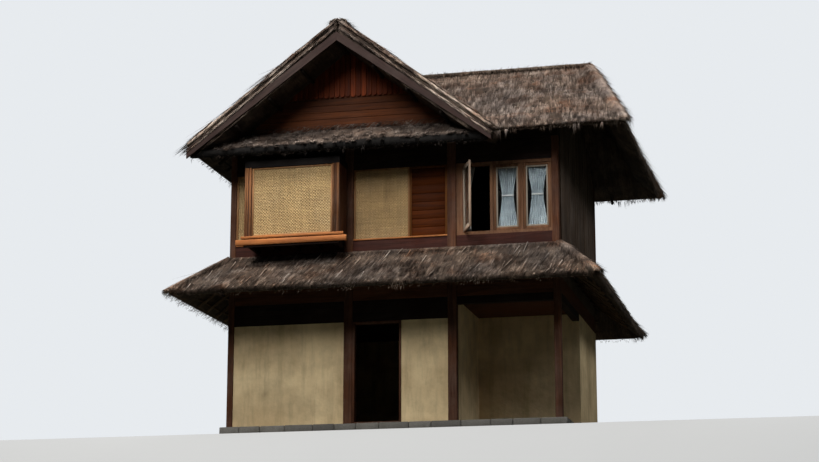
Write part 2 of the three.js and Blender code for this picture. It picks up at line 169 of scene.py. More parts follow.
def spread(tree, value, low, high, to_low=0.0, to_high=1.0):
    """A value stretched from one range to another, and clamped."""
    sockets = {0: value, 1: low, 2: high, 3: to_low, 4: to_high}
    return add_node(tree, "ShaderNodeMapRange", sockets).outputs[0]


def noise_value(tree, vector, scale, detail=4.0, roughness=0.55, distortion=0.0):
    """Soft noise from 0 to 1, with scale counted in lumps per metre."""
    sockets = {
        "Vector": vector,
        "Scale": scale,
        "Detail": detail,
        "Roughness": roughness,
        "Distortion": distortion,
    }
    return add_node(tree, "ShaderNodeTexNoise", sockets).outputs["Fac"]


def stretched(tree, vector, scale):
    """Coordinates scaled by axis; a small number draws the noise out along that axis."""
    sockets = {0: vector, 1: scale}
    return add_node(tree, "ShaderNodeVectorMath", sockets, operation="MULTIPLY").outputs[0]


print("node helpers ready")

# %% [markdown]
# An effect that several materials share, such as grain or weather, is a node group: built
# once, with named inputs, and placed in each material with its own values. Colours are given
# on a screen's scale and turned into the linear values that shaders work with.

# %% Group and material helpers
def new_group(name, inputs, outputs):
    """An empty node group with named sockets, and its input and output nodes."""
    group = bpy.data.node_groups.new(name, "ShaderNodeTree")
    for way, sockets in (("INPUT", inputs), ("OUTPUT", outputs)):
        for label, kind in sockets.items():
            group.interface.new_socket(label, in_out=way, socket_type="NodeSocket" + kind)
    return group, group.nodes.new("NodeGroupInput"), group.nodes.new("NodeGroupOutput")


def use_group(tree, group, *values):
    """A group placed in a material, with a value or a link for each named input in turn."""
    return add_node(tree, "ShaderNodeGroup", dict(enumerate(values)), node_tree=group)


def linear_level(level):
    share = level / 255
    return share / 12.92 if share < 0.04 else ((share + 0.055) / 1.055) ** 2.4


def rgb(red, green, blue):
    return (linear_level(red), linear_level(green), linear_level(blue), 1.0)


def new_material(name, roughness=0.8, specular=0.3):
    """A material, its tree, its Principled node and the object coordinates in metres."""
    material = bpy.data.materials.new(name)
    material.use_nodes = True
    tree = material.node_tree
    shader = tree.nodes["Principled BSDF"]
    shader.inputs["Roughness"].default_value = roughness
    shader.inputs["Specular IOR Level"].default_value = specular
    place = tree.nodes.new("ShaderNodeTexCoord").outputs["Object"]
    return material, tree, shader, place


def each_piece(tree):
    """A random value for each separate straw, board or block of a mesh."""
    return tree.nodes.new("ShaderNodeNewGeometry").outputs["Random Per Island"]


def bumped(tree, shader, height, distance, strength=0.6):
    """Fine relief from a height value, at most a distance deep."""
    sockets = {"Height": height, "Distance": distance, "Strength": strength}
    bump = add_node(tree, "ShaderNodeBump", sockets)
    tree.links.new(bump.outputs["Normal"], shader.inputs["Normal"])


print("group and material helpers ready")

# %% [markdown]
# The camera is lower than the house, so the ground in front of the plinth rolls away downwards
# like the brow of a hill, and the foot of the house still shows. A pale floor would throw
# light up under the dark eaves, so the floor is pale and faintly glowing for the camera, and
# dark for every other ray. Further out it fades into the background's own colour.

# %% Floor
FLOOR_REACH = 180.0
FLOOR_LIP = MODEL_LOW.y + 0.55
FLOOR_DROP = 7.0
FLOOR_FALL_LENGTH = 9.0
FLOOR_STEPS = 24
FLOOR_PALE = rgb(108, 108, 107)
FLOOR_PALEST = rgb(116, 116, 114)
FLOOR_CLOUD_SCALE = 0.4
FLOOR_GLOW = rgb(172, 173, 173)
FLOOR_UNLIT = rgb(0, 0, 0)
FLOOR_FADE = (9.0, 38.0)
FLOOR_BOUNCE = rgb(84, 86, 78)


def floor_profile():
    """Points (y, z) from far in front of the house to far behind it."""
    points = [(-FLOOR_REACH, -FLOOR_DROP)]
    for step in range(FLOOR_STEPS + 1):
        share = 1 - step / FLOOR_STEPS
        fall = (1 - math.cos(math.pi * share)) / 2
        points.append((FLOOR_LIP - FLOOR_FALL_LENGTH * share, -FLOOR_DROP * fall))
    points.append((FLOOR_REACH, 0.0))
    return points


def floor_material():
    material, tree, shader, place = new_material("pale_floor", 0.9, 0.2)
    cloud = noise_value(tree, place, FLOOR_CLOUD_SCALE, 3.0)
    pale = mixed(tree, cloud, FLOOR_PALE, FLOOR_PALEST)
    away = add_node(tree, "ShaderNodeVectorMath", {0: place}, operation="LENGTH").outputs["Value"]
    fade = spread(tree, away, *FLOOR_FADE)
    pale = mixed(tree, fade, pale, FLOOR_UNLIT)
    glow = mixed(tree, fade, FLOOR_GLOW, WORLD_SEEN)
    seen = tree.nodes.new("ShaderNodeLightPath").outputs["Is Camera Ray"]
    tree.links.new(mixed(tree, seen, FLOOR_BOUNCE, pale), shader.inputs["Base Color"])
    tree.links.new(mixed(tree, seen, FLOOR_UNLIT, glow), shader.inputs["Emission Color"])
    shader.inputs["Emission Strength"].default_value = 1.0
    return material


def make_floor():
    profile = floor_profile()
    points = [(x, y, z) for y, z in profile for x in (-FLOOR_REACH, FLOOR_REACH)]
    faces = [(2 * i, 2 * i + 1, 2 * i + 3, 2 * i + 2) for i in range(len(profile) - 1)]
    mesh = bpy.data.meshes.new("floor")
    mesh.from_pydata(points, [], faces)
    mesh.shade_smooth()
    mesh.materials.append(floor_material())
    floor = bpy.data.objects.new("floor", mesh)
    bpy.context.scene.collection.objects.link(floor)


make_floor()
print("floor falls away in front of y =", round(FLOOR_LIP, 2))

# %% [markdown]
# Every piece of the house is a plain mesh made from arrays of points and faces. One helper
# makes the mesh, and another makes the object and fixes it to the house.

# %% Piece helpers


def mesh_from(name, points, faces):
    """A mesh from an N by 3 array of points and an M by 3 or M by 4 array of faces."""
    points = np.asarray(points, np.float32)
    faces = np.asarray(faces, np.int32)
    mesh = bpy.data.meshes.new(name)
    mesh.vertices.add(len(points))
    mesh.vertices.foreach_set("co", points.ravel())
    mesh.loops.add(faces.size)
    mesh.loops.foreach_set("vertex_index", faces.ravel())
    mesh.polygons.add(len(faces))
    starts = np.arange(0, faces.size, faces.shape[1], dtype=np.int32)
    mesh.polygons.foreach_set("loop_start", starts)
    mesh.update(calc_edges=True)
    mesh.validate()
    return mesh


def faces_outward(mesh):
    fix = bmesh.new()
    fix.from_mesh(mesh)
    bmesh.ops.recalc_face_normals(fix, faces=fix.faces)
    fix.to_mesh(mesh)
    fix.free()
    return mesh


def joined_arrays(parts):
    """Several (points, faces) pairs as one pair."""
    points, faces, shift = [], [], 0
    for part_points, part_faces in parts:
        points.append(part_points)
        faces.append(np.asarray(part_faces) + shift)
        shift += len(part_points)
    return np.concatenate(points), np.concatenate(faces)


def add_piece(name, mesh, material, slot, stands_for=()):
    """An object that rides with the house, and may stand for nodes of the model."""
    mesh.materials.clear()
    mesh.materials.append(material)
    piece = bpy.data.objects.new(name, mesh)
    bpy.context.scene.collection.objects.link(piece)
    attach(piece, "root")
    if stands_for:
        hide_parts(*stands_for)
    print(name, len(mesh.vertices), "points", len(mesh.polygons), "faces")
    return piece


def add_parts(name, parts, material, slot="thatch"):
    """One piece made of several (points, faces) pairs."""
    return add_piece(name, mesh_from(name, *joined_arrays(parts)), material, slot)


print("piece helpers ready")

# %% [markdown]
# Old thatch isn't one colour. Each straw has its own shade, handfuls laid together share a
# tone, and rain turns whole patches grey. A handful is long and narrow, so its noise is
# stretched down the slope. The foot of a slope, near the eave, is paler or darker. On the
# pent strip that darkening is painted shade, and on the gable verges the paler foot is a
# painted highlight.

# %% Straw colour group
DOWN_THE_FRONT = (1.0, 0.16, 0.16)
DOWN_THE_SIDE = (0.16, 1.0, 0.16)
SHORT_BUNDLES = (1.0, 0.5, 0.5)
RUSSET = rgb(190, 150, 118)
RUSSET_SHARE = 0.75
GREY_SATURATION = 0.6
GREY_VALUE = 0.82
SHARED_BY_PATCH = 0.5
SHARED_TONE = 0.7
STRAW_INPUTS = {
    "Place": "Vector",
    "Strand run": "Vector",
    "Each straw": "Float",
    **dict.fromkeys(("Dark", "Middle", "Light"), "Color"),
    **dict.fromkeys(("Handful scale", "Weathering", "Foot height", "Foot reach", "Foot tone"), "Float"),
}


def mixed_values(tree, factor, first, second):
    return add_node(tree, "ShaderNodeMix", {0: factor, 2: first, 3: second}).outputs[0]


def make_straw_group():
    outputs = {"Colour": "Color", "Height": "Float"}
    group, given, result = new_group("straw colour", STRAW_INPUTS, outputs)
    value = given.outputs
    place = value["Place"]
    strands = stretched(group, place, value["Strand run"])
    handful = noise_value(group, strands, value["Handful scale"], 3.0, 0.6, 0.4)
    cloud = noise_value(group, place, 2.6, 3.0, 0.6)
    handful, cloud = spread(group, handful, 0.3, 0.7), spread(group, cloud, 0.36, 0.64)
    shared = mixed_values(group, SHARED_BY_PATCH, handful, cloud)
    tone = mixed_values(group, SHARED_TONE, value["Each straw"], shared)

    height = add_node(group, "ShaderNodeSeparateXYZ", {0: place}).outputs["Z"]
    above_foot = maths(group, "SUBTRACT", height, value["Foot height"])
    foot = spread(group, above_foot, 0.0, value["Foot reach"], 1.0, 0.0)
    tone = maths(group, "ADD", tone, maths(group, "MULTIPLY", foot, value["Foot tone"]))
    straw = mixed(group, spread(group, tone, 0.12, 0.5), value["Dark"], value["Middle"])
    straw = mixed(group, spread(group, tone, 0.5, 0.92), straw, value["Light"])

    grey = {"Saturation": GREY_SATURATION, "Value": GREY_VALUE, "Color": straw}
    grey = add_node(group, "ShaderNodeHueSaturation", grey).outputs[0]
    warm = spread(group, noise_value(group, place, 3.1, 3.0, 0.6), 0.5, 0.66)
    warm = maths(group, "MULTIPLY", maths(group, "MULTIPLY", warm, value["Weathering"]), RUSSET_SHARE)
    straw = mixed(group, warm, straw, RUSSET, "OVERLAY")
    rained = spread(group, noise_value(group, place, 1.3, 4.0, 0.6), 0.42, 0.6)
    straw = mixed(group, maths(group, "MULTIPLY", rained, value["Weathering"]), straw, grey)
    group.links.new(straw, result.inputs["Colour"])
    group.links.new(noise_value(group, place, 90.0, 2.0), result.inputs["Height"])
    return group


STRAW_GROUP = make_straw_group()
print("straw colour group made with", len(STRAW_GROUP.nodes), "nodes")

# %% [markdown]
# Each kind of thatch is the group with three shades of its own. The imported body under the
# loose straws is one mesh, so it gets streaks that run down the slope instead of single tones.

# %% Straw materials
NO_FOOT = (0.0, 0.9, 0.0)
STREAK_SCALE = 38.0
STREAK_DEPTH = 0.02
STRAW_DEPTH = 0.003


def straw_material(name, shades, run, scale, weathering, foot=NO_FOOT, streaked=False):
    """Straw in three shades; foot is the height, reach and tone of its lowest part."""
    material, tree, shader, place = new_material(name, 0.88, 0.18)
    if streaked:
        streaks = noise_value(tree, stretched(tree, place, run), STREAK_SCALE, 4.0, 0.7)
        each = spread(tree, streaks, 0.3, 0.7)
    else:
        each = each_piece(tree)
    values = (place, run, each, *shades, scale, weathering, *foot)
    straw = use_group(tree, STRAW_GROUP, *values)
    tree.links.new(straw.outputs["Colour"], shader.inputs["Base Color"])
    if streaked:
        bumped(tree, shader, each, STREAK_DEPTH)
    else:
        bumped(tree, shader, straw.outputs["Height"], STRAW_DEPTH)
    return material


GREY_STRAW = (rgb(80, 65, 56), rgb(132, 112, 99), rgb(190, 166, 146))
BROWN_STRAW = (rgb(40, 31, 26), rgb(104, 87, 75), rgb(176, 152, 131))
PALE_STRAW = (rgb(96, 80, 70), rgb(158, 138, 122), rgb(216, 197, 178))
PENT_SHADES = (rgb(26, 20, 17), rgb(112, 97, 87), rgb(200, 181, 165))
# Near-black to mid tones for the pent's body, used with the nose setting below to paint shade on its
# nose.
PENT_SHADE_TONES = (rgb(12, 9, 7), rgb(78, 65, 56), rgb(130, 113, 99))
VERGE_SHADES = (rgb(36, 29, 25), rgb(92, 78, 69), rgb(196, 176, 158))
# Near-black straw: painted shade for hanging straw ends.
STRAW_IN_SHADE = (rgb(13, 10, 8), rgb(30, 24, 20), rgb(70, 59, 50))
DARK_STRAW = (rgb(38, 30, 24), rgb(74, 61, 51), rgb(134, 116, 98))
BODY_STRAW = (rgb(34, 27, 22), rgb(66, 54, 45), rgb(104, 87, 72))
WING_FOOT = (5.46, 0.9, 0.16)
SKIRT_FOOT = (2.62, 0.3, 0.2)
# Painted shade: the pent's tufts grow darker towards the nose, as under its overhang.
PENT_TUFT_SHADE = (5.26, 0.18, -0.55)
# Painted shade: the pent's body turns near black at its nose, as under its overhang.
PENT_NOSE_SHADE = (5.34, 0.12, -1.0)
# Painted highlight: the verge straws grow paler towards their foot, where the light catches them.
VERGE_LIT_FOOT = (5.3, 1.5, 0.42)

THATCH_BODY = straw_material("thatch_body", BODY_STRAW, DOWN_THE_FRONT, 9.0, 0.3, streaked=True)
# Painted shade: the pent's body is near black at its nose.
PENT_SHADED_BODY = straw_material("pent_shaded_body", PENT_SHADE_TONES, DOWN_THE_FRONT, 9.0, 0.3, PENT_NOSE_SHADE, True)
WING_STRAW = straw_material("wing_straw", GREY_STRAW, DOWN_THE_FRONT, 7.0, 0.8, WING_FOOT)
SIDE_STRAW = straw_material("side_straw", GREY_STRAW, DOWN_THE_SIDE, 7.0, 0.8, WING_FOOT)
SKIRT_STRAW = straw_material("skirt_straw", BROWN_STRAW, DOWN_THE_FRONT, 11.0, 0.7, SKIRT_FOOT)
SKIRT_SIDE_STRAW = straw_material("skirt_side_straw", BROWN_STRAW, DOWN_THE_SIDE, 11.0, 0.7, SKIRT_FOOT)
PENT_STRAW = straw_material("pent_straw", PENT_SHADES, SHORT_BUNDLES, 13.0, 0.3, PENT_TUFT_SHADE)
# Painted shade: the hanging straw ends under the eaves are darker than the slopes above them.
EAVE_SHADE_STRAW = straw_material("eave_shade_straw", DARK_STRAW, DOWN_THE_FRONT, 9.0, 0.4)
# Painted shade: the pent's hanging straw ends are near black.
PENT_SHADED_FRINGE = straw_material("pent_fringe", STRAW_IN_SHADE, DOWN_THE_FRONT, 9.0, 0.4)
LOCK_STRAW = straw_material("lock_straw", GREY_STRAW, DOWN_THE_FRONT, 14.0, 0.9)
STICK_STRAW = straw_material("stick_straw", PALE_STRAW, DOWN_THE_FRONT, 14.0, 0.9)
VERGE_STRAW = straw_material("verge_straw", VERGE_SHADES, DOWN_THE_SIDE, 14.0, 0.5, VERGE_LIT_FOOT)
print("straw materials made")

# %% [markdown]
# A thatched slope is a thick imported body: the model's own slope, remeshed into small even
# faces so that it can swell and sag. Each course of thatch is thickest at its lower end. The
# relief fades out towards the top, where the thatch meets a wall or a ridge.

# %% Thatch bodies
ROOFS = {
    # the way down each slope, and its straws
    "gable_roof_left": ((-1, 0, 0), SIDE_STRAW),
    "gable_roof_right": ((1, 0, 0), SIDE_STRAW),
    "wing_roof_front": ((0, -1, 0), WING_STRAW),
    "wing_roof_back": ((0, 1, 0), WING_STRAW),
    "wing_roof_hip": ((1, 0, 0), SIDE_STRAW),
    "skirt_roof_front": ((0, -1, 0), SKIRT_STRAW),
    "skirt_roof_back": ((0, 1, 0), SKIRT_STRAW),
    "skirt_roof_left": ((-1, 0, 0), SKIRT_SIDE_STRAW),
    "skirt_roof_right": ((1, 0, 0), SKIRT_SIDE_STRAW),
    "front_pent_roof": ((0, -1, 0), PENT_STRAW),
}
BODY_VOXEL = 0.07
BODY_SMOOTHING = 3
COURSE_RISE = 0.21
COURSE_WANDER = 0.5
COURSE_THICKNESS = 0.018
SWELL = 0.026
LUMP = 0.014
RELIEF_FADE = 0.3


def wander(points, scale, shift=0.0):
    """Smooth noise from about -1 to 1 at each point."""
    move = Vector((shift, shift, shift))
    return np.array([noise.noise(Vector(p) * scale + move) for p in points])


def relief(points, top_z):
    """How far the thatch stands proud of the model's slope, at each point."""
    course = points[:, 2] / COURSE_RISE + COURSE_WANDER * wander(points, 1.4, 4.0)
    butt = 1.0 - (course - np.floor(course))
    height = COURSE_THICKNESS * butt + SWELL * wander(points, 1.1) + LUMP * wander(points, 4.5, 9.0)
    return height * np.clip((top_z - points[:, 2]) / RELIEF_FADE, 0.1, 1.0)


def thatch_body(node):
    rough = bpy.data.objects.new("rough_" + node, NODES[node].data.copy())
    bpy.context.scene.collection.objects.link(rough)
    even = rough.modifiers.new("even", "REMESH")
    even.mode = "VOXEL"
    even.voxel_size = BODY_VOXEL
    soft = rough.modifiers.new("soft", "SMOOTH")
    soft.factor = 0.5
    soft.iterations = BODY_SMOOTHING
    graph = bpy.context.evaluated_depsgraph_get()
    mesh = bpy.data.meshes.new_from_object(rough.evaluated_get(graph))
    bpy.data.objects.remove(rough)
    points, normals = np.empty((2, len(mesh.vertices) * 3), np.float32)
    mesh.vertices.foreach_get("co", points)
    mesh.vertex_normals.foreach_get("vector", normals)
    points, normals = points.reshape(-1, 3), normals.reshape(-1, 3)
    upward = np.clip(normals[:, 2:] * 2 + 0.6, 0, 1)
    points = points + normals * upward * relief(points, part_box(node)[1].z)[:, None]
    mesh.vertices.foreach_set("co", points.ravel().astype(np.float32))
    mesh.shade_smooth()
    finish = PENT_SHADED_BODY if node == "front_pent_roof" else THATCH_BODY
    add_piece(node + "_thatch", mesh, finish, "thatch", (node,))


for roof_node in ROOFS:
    thatch_body(roof_node)

# %% [markdown]
# A single straw is the smallest shape that still has volume: a long thin wedge of four faces.
# Places for the straws are scattered over the model's top faces by area, and each place knows
# which way is down the slope.

# %% Straw helpers
TOP_FACE_RISE = 0.3
LEAST_FALL = 0.2
WEDGE_DEPTH = 0.6


def roof_triangles(node):
    mesh = NODES[node].data
    mesh.calc_loop_triangles()
    places = np.array([v.co for v in mesh.vertices])
    corners = np.array([places[list(t.vertices)] for t in mesh.loop_triangles])
    normals = np.array([t.normal for t in mesh.loop_triangles])
    return corners, normals


def top_triangles(node):
    """The corners and normals of a slope's upper side alone."""
    corners, normals = roof_triangles(node)
    top = normals[:, 2] > TOP_FACE_RISE
    return corners[top], normals[top]


def scattered(corners, per_square_metre, chance):
    """Random points spread evenly over triangles, and the triangle that each is on."""
    first = corners[:, 1] - corners[:, 0]
    second = corners[:, 2] - corners[:, 0]
    areas = np.linalg.norm(np.cross(first, second), axis=1) / 2
    count = int(areas.sum() * per_square_metre)
    which = chance.choice(len(areas), count, p=areas / areas.sum())
    u = chance.random(count)
    v = chance.random(count)
    over = u + v > 1
    u[over], v[over] = 1 - u[over], 1 - v[over]
    return corners[which, 0] + u[:, None] * first[which] + v[:, None] * second[which], which


def unit(vectors):
    return vectors / np.linalg.norm(vectors, axis=1)[:, None]


def downward(normals):
    """The steepest way down a slope, for each normal."""
    fall = np.array([0.0, 0.0, -1.0]) - normals * -normals[:, 2:]
    return unit(fall)


def wedges(roots, ways, normals, lengths, widths, lifts):
    side = unit(np.cross(ways, normals)) * widths[:, None] / 2
    up = normals * widths[:, None] * WEDGE_DEPTH
    tips = roots + ways * lengths[:, None] + normals * lifts[:, None]
    points = np.stack([roots + side, roots - side, roots + up, tips], axis=1).reshape(-1, 3)
    pattern = np.array([(0, 2, 1), (0, 1, 3), (1, 2, 3), (2, 0, 3)])
    faces = (np.arange(len(roots))[:, None, None] * 4 + pattern).reshape(-1, 3)
    return points, faces


def turned(ways, normals, angles):
    """Each way turned in the plane of its slope by an angle."""
    side = np.cross(normals, ways)
    return ways * np.cos(angles)[:, None] + side * np.sin(angles)[:, None]


def room_to_foot(roots, ways, corners):
    """How long a straw may be before its tip passes the lowest of some corners."""
    return (roots[:, 2] - corners[:, :, 2].min()) / np.maximum(-ways[:, 2], LEAST_FALL)


print("straw helpers ready")

# %% [markdown]
# A thatcher lays handfuls, not straws. Each handful here is a tuft: its straws fan out from a
# shared root, end together and are domed across, so that the ends make a lit rim over a small
# shadow. Wide tufts make the bundles of the pent strip, narrow ones the big slopes.

# %% Tufts on the slopes
TUFT_KINDS = {
    # per square metre, straws, width, length, dome, lean, drift, reach past the eave
    "gable": (90, 9, 0.06, (0.45, 1.0), 0.005, 0.09, 0.0, (0.02, 0.1)),
    "wing": (104, 9, 0.06, (0.45, 1.0), 0.003, 0.08, 0.12, (0.02, 0.1)),
    "skirt": (92, 9, 0.06, (0.45, 1.0), 0.006, 0.12, -0.14, (0.02, 0.1)),
    "front": (54, 30, 0.12, (0.18, 0.36), 0.04, 0.26, 0.1, (-0.16, 0.09)),
}
TUFT_FAN = 0.5
STRAY_SHARE = 0.03
STRAY_LEAN = 0.35
SHORTEST_STRAW = 0.05
STRAW_WIDTH = (0.005, 0.012)


def slope_tufts(node, kind, chance):
    """Tufts over a node's top faces; the lowest end a little past its eave."""
    per_square_metre, straws, width, length, dome, lean, drift, past_eave = kind
    corners, normals = top_triangles(node)
    centres, which = scattered(corners, per_square_metre, chance)
    top_z = corners[:, :, 2].max()
    centres = centres + normals[which] * relief(centres, top_z)[:, None]
    calm = np.clip((top_z - centres[:, 2]) / RELIEF_FADE, 0.25, 1.0)
    count = len(centres)
    settled = lean * 1.6 * wander(centres, 0.9, 20.0)
    tuft_angle = drift + settled + chance.normal(0, lean * 0.5, count)
    tuft_length = chance.uniform(*length, count)
    tuft_width = width * chance.uniform(0.7, 1.3, count)

    tuft = np.repeat(np.arange(count), straws)
    total = len(tuft)
    normal = normals[which][tuft]
    way = downward(normal)
    across = chance.uniform(-1, 1, total)
    offset = across * tuft_width[tuft] / 2
    fan = TUFT_FAN * offset / tuft_length[tuft]
    angles = tuft_angle[tuft] + fan + chance.normal(0, 0.03, total)
    stray = chance.random(total) < STRAY_SHARE
    angles[stray] += chance.normal(0, STRAY_LEAN, stray.sum())
    ways = turned(way, normal, angles)
    side = np.cross(normal, way)
    slide = chance.uniform(-0.12, 0.06, total) * tuft_length[tuft]
    roots = centres[tuft] + side * offset[:, None] * 0.6 + way * slide[:, None]
    past_top = np.maximum(roots[:, 2:] - top_z, 0) / -way[:, 2:]
    roots = roots + way * past_top + normal * chance.uniform(-0.006, 0.006, (total, 1))

    lengths = tuft_length[tuft] * chance.uniform(0.76, 1.02, total)
    past = chance.uniform(*past_eave, count)[tuft] + chance.uniform(-0.015, 0.015, total)
    lengths = np.minimum(lengths, room_to_foot(roots, ways, corners) + past)
    domed = dome * (1 - across ** 2)
    lifts = calm[tuft] * (domed + chance.uniform(-0.002, 0.006, total))
    lifts[stray] += chance.uniform(0.01, 0.05, stray.sum())
    widths = chance.uniform(*STRAW_WIDTH, total)
    keep = lengths > SHORTEST_STRAW
    return wedges(*(a[keep] for a in (roots, ways, normal, lengths, widths, lifts)))


print("tuft kinds:", ", ".join(TUFT_KINDS))

# %% [markdown]
# A dense row of short straws closes the top edge of each slope. Where the pent strip meets
# the boards of the gable, its straws start at uneven heights, so that its edge is ragged.

# %% Top rows and the straws of each slope
TOP_ROW_PER_METRE = 420
TOP_ROW_LENGTH = (0.08, 0.3)
TOP_ROW_LEAN = 0.14
TOP_ROW_RISE = {"front_pent_roof": 0.12}


def top_row(node, drift, chance):
    corners, normals = top_triangles(node)
    points = corners.reshape(-1, 3)
    points = points[points[:, 2] > points[:, 2].max() - 0.001]
    along = np.cross(ROOFS[node][0], (0, 0, 1.0))
    order = points @ along
    start, end = points[order.argmin()], points[order.argmax()]
    count = int(np.linalg.norm(end - start) * TOP_ROW_PER_METRE)
    normal = np.repeat(normals[:1], count, axis=0)
    ways = turned(downward(normal), normal, drift + chance.normal(0, TOP_ROW_LEAN, count))
    roots = start + (end - start) * chance.random((count, 1)) - ways * 0.01
    raised = chance.random(count) * TOP_ROW_RISE.get(node, 0.0)
    roots[:, 2] += raised
    lengths = chance.uniform(*TOP_ROW_LENGTH, count)
    lifts = chance.uniform(0.0, 0.014, count) - raised * 0.8
    return wedges(roots, ways, normal, lengths, chance.uniform(*STRAW_WIDTH, count), lifts)


for number, (roof_node, (_, straw)) in enumerate(ROOFS.items()):
    straw_chance = np.random.default_rng(100 + number)
    kind = TUFT_KINDS[roof_node.split("_")[0]]
    parts = [slope_tufts(roof_node, kind, straw_chance)]
    parts.append(top_row(roof_node, kind[6], straw_chance))
    add_parts(roof_node + "_straws", parts, straw)

# %% [markdown]
# Below the eave the straw ends hang free and bend under their own weight, so each has a knee
# and ten faces. They hang in locks, and between these the edge is cut almost clean. The cut
# end of a gable slope shows the sides of straws that lie along it.

# %% Hanging straws and cut ends
FRINGE_KINDS = {
    # per square metre, shortest and longest hang
    "gable": (620, (0.03, 0.14)),
    "wing": (900, (0.04, 0.17)),
    "skirt": (560, (0.02, 0.10)),
    "front": (620, (0.04, 0.15)),
}
FRINGE_WIDTH = (0.006, 0.013)
FRINGE_OUT = 0.03
KNEE_DROP = 0.4
KNEE_REACH = 0.7
KNEE_WIDTH = 0.8
VERGE_PER_SQUARE_METRE = 800
VERGE_LENGTH = (0.25, 0.7)
VERGE_WIDTH = (0.009, 0.018)
DOWN = np.array([0.0, 0.0, -1.0])


def bent_straws(roots, knees, tips, widths, outward):
    way = unit(tips - roots)
    side = unit(np.cross(way, outward)) * widths[:, None] / 2
    face = outward * widths[:, None] * 0.5
    rings = [roots + side, roots - side, roots + face]
    rings += [knees + side * KNEE_WIDTH, knees - side * KNEE_WIDTH, knees + face * KNEE_WIDTH, tips]
    points = np.stack(rings, axis=1).reshape(-1, 3)
    pattern = [(0, 2, 1), (3, 4, 6), (4, 5, 6), (5, 3, 6)]
    for a, b in ((0, 1), (1, 2), (2, 0)):
        pattern += [(a, b, b + 3), (a, b + 3, a + 3)]
    faces = (np.arange(len(roots))[:, None, None] * 7 + np.array(pattern)).reshape(-1, 3)
    return points, faces


def eave_fringe(node, per_square_metre, hang, chance):
    corners, normals = roof_triangles(node)
    downhill = np.array(ROOFS[node][0], float)
    nose = (np.abs(normals[:, 2]) <= TOP_FACE_RISE) & (normals @ downhill > 0.7)
    roots, which = scattered(corners[nose], per_square_metre, chance)
    count = len(roots)
    outward = normals[nose][which]
    along = np.cross(outward, (0, 0, 1.0))
    flat = roots * np.array([1, 1, 0.2])
    lock = np.clip(wander(flat, 5.5, 31.0) * 2.2 - 0.25, 0, 1)
    lock = np.clip(lock + 0.35 * np.abs(wander(flat, 2.0, 3.0)), 0, 1.2)
    drop = hang[0] + (hang[1] - hang[0]) * lock * chance.uniform(0.6, 1.1, count)
    sway = chance.normal(0, 0.12, count) + 0.5 * wander(roots, 2.2, 44.0)
    reach = chance.uniform(0.1, 0.35, count) * drop
    start = roots - outward * chance.uniform(0.02, 0.06, (count, 1))

    def hung(reach_share, drop_share):
        place = start + outward * (FRINGE_OUT + reach * reach_share)[:, None]
        place = place + DOWN * (drop * drop_share)[:, None]
        return place + along * (sway * drop * drop_share)[:, None]

    widths = chance.uniform(*FRINGE_WIDTH, count)
    return bent_straws(start, hung(KNEE_REACH, KNEE_DROP), hung(1, 1), widths, outward)


def verge_straws(node, chance):
    corners, normals = roof_triangles(node)
    verge = (np.abs(normals[:, 2]) <= TOP_FACE_RISE) & (np.abs(normals[:, 1]) > 0.9)
    corners = corners[verge]
    roots, which = scattered(corners, VERGE_PER_SQUARE_METRE, chance)
    count = len(roots)
    outward = normals[verge][which]
    slope = np.repeat(downward(top_triangles(node)[1][:1]), count, axis=0)
    ways = turned(slope, outward, chance.normal(0, 0.05, count))
    lengths = chance.uniform(*VERGE_LENGTH, count)
    lengths = np.minimum(lengths, room_to_foot(roots, slope, corners) + 0.06)
    widths = chance.uniform(*VERGE_WIDTH, count)
    lifts = chance.uniform(-0.004, 0.012, count)
    return wedges(roots - outward * 0.004, ways, outward, lengths, widths, lifts)


for number, roof_node in enumerate(ROOFS):
    family = roof_node.split("_")[0]
    fringe_chance = np.random.default_rng(200 + number)
    parts = [eave_fringe(roof_node, *FRINGE_KINDS[family], fringe_chance)]
    if family == "gable":
        parts.append(verge_straws(roof_node, fringe_chance))
    # The hanging ends take the darker straw, painted shade under the eave.
    add_parts(roof_node + "_fringe", parts, PENT_SHADED_FRINGE if family == "front" else EAVE_SHADE_STRAW)

# %% [markdown]
# Old thatch sheds. A few long locks have slipped and hang below the front eaves, paler than
# the shade behind them, and loose sticks lie across the skirt roof where they came to rest.

# %% Slipped locks and loose sticks
LOCKS = (
    # x, y, z, width, length
    (1.93, -3.03, 5.40, 0.12, 0.26),
    (2.10, -3.02, 5.42, 0.05, 0.20),
    (3.36, -3.01, 5.44, 0.05, 0.28),
    (3.43, -3.01, 5.44, 0.02, 0.20),
    (3.86, -3.01, 5.44, 0.03, 0.18),
)
LOCK_STRAWS = 22
LOCK_STRAW_WIDTH = (0.008, 0.014)
LOCK_OUT = 0.03
STICK_COUNT = 48
STICK_PER_SQUARE_METRE = 60
STICK_LENGTH = (0.3, 0.75)
STICK_SHORTEST = 0.1
STICK_WIDTH = (0.018, 0.034)
STICK_ANGLE = (-0.30, -0.02)
STICK_LIFT = 0.022


def slipped_locks(chance):
    parts = []
    for x, y, z, width, length in LOCKS:
        level_z = np.full(LOCK_STRAWS, z)
        out = np.full(LOCK_STRAWS, -LOCK_OUT)
        root_x = x + chance.uniform(-1, 1, LOCK_STRAWS) * width / 2
        roots = np.column_stack([root_x, y + chance.uniform(0, 0.04, LOCK_STRAWS), level_z])
        drop = length * chance.uniform(0.35, 1.0, LOCK_STRAWS)
        lean = chance.normal(0, 0.12, LOCK_STRAWS)
        outward = np.repeat([[0.0, -1.0, 0.0]], LOCK_STRAWS, axis=0)
        knees = roots + np.column_stack([lean * drop * 0.3, out, -drop * KNEE_DROP])
        tips = roots + np.column_stack([lean * drop, out, -drop])
        widths = chance.uniform(*LOCK_STRAW_WIDTH, LOCK_STRAWS)
        parts.append(bent_straws(roots, knees, tips, widths, outward))
    return parts


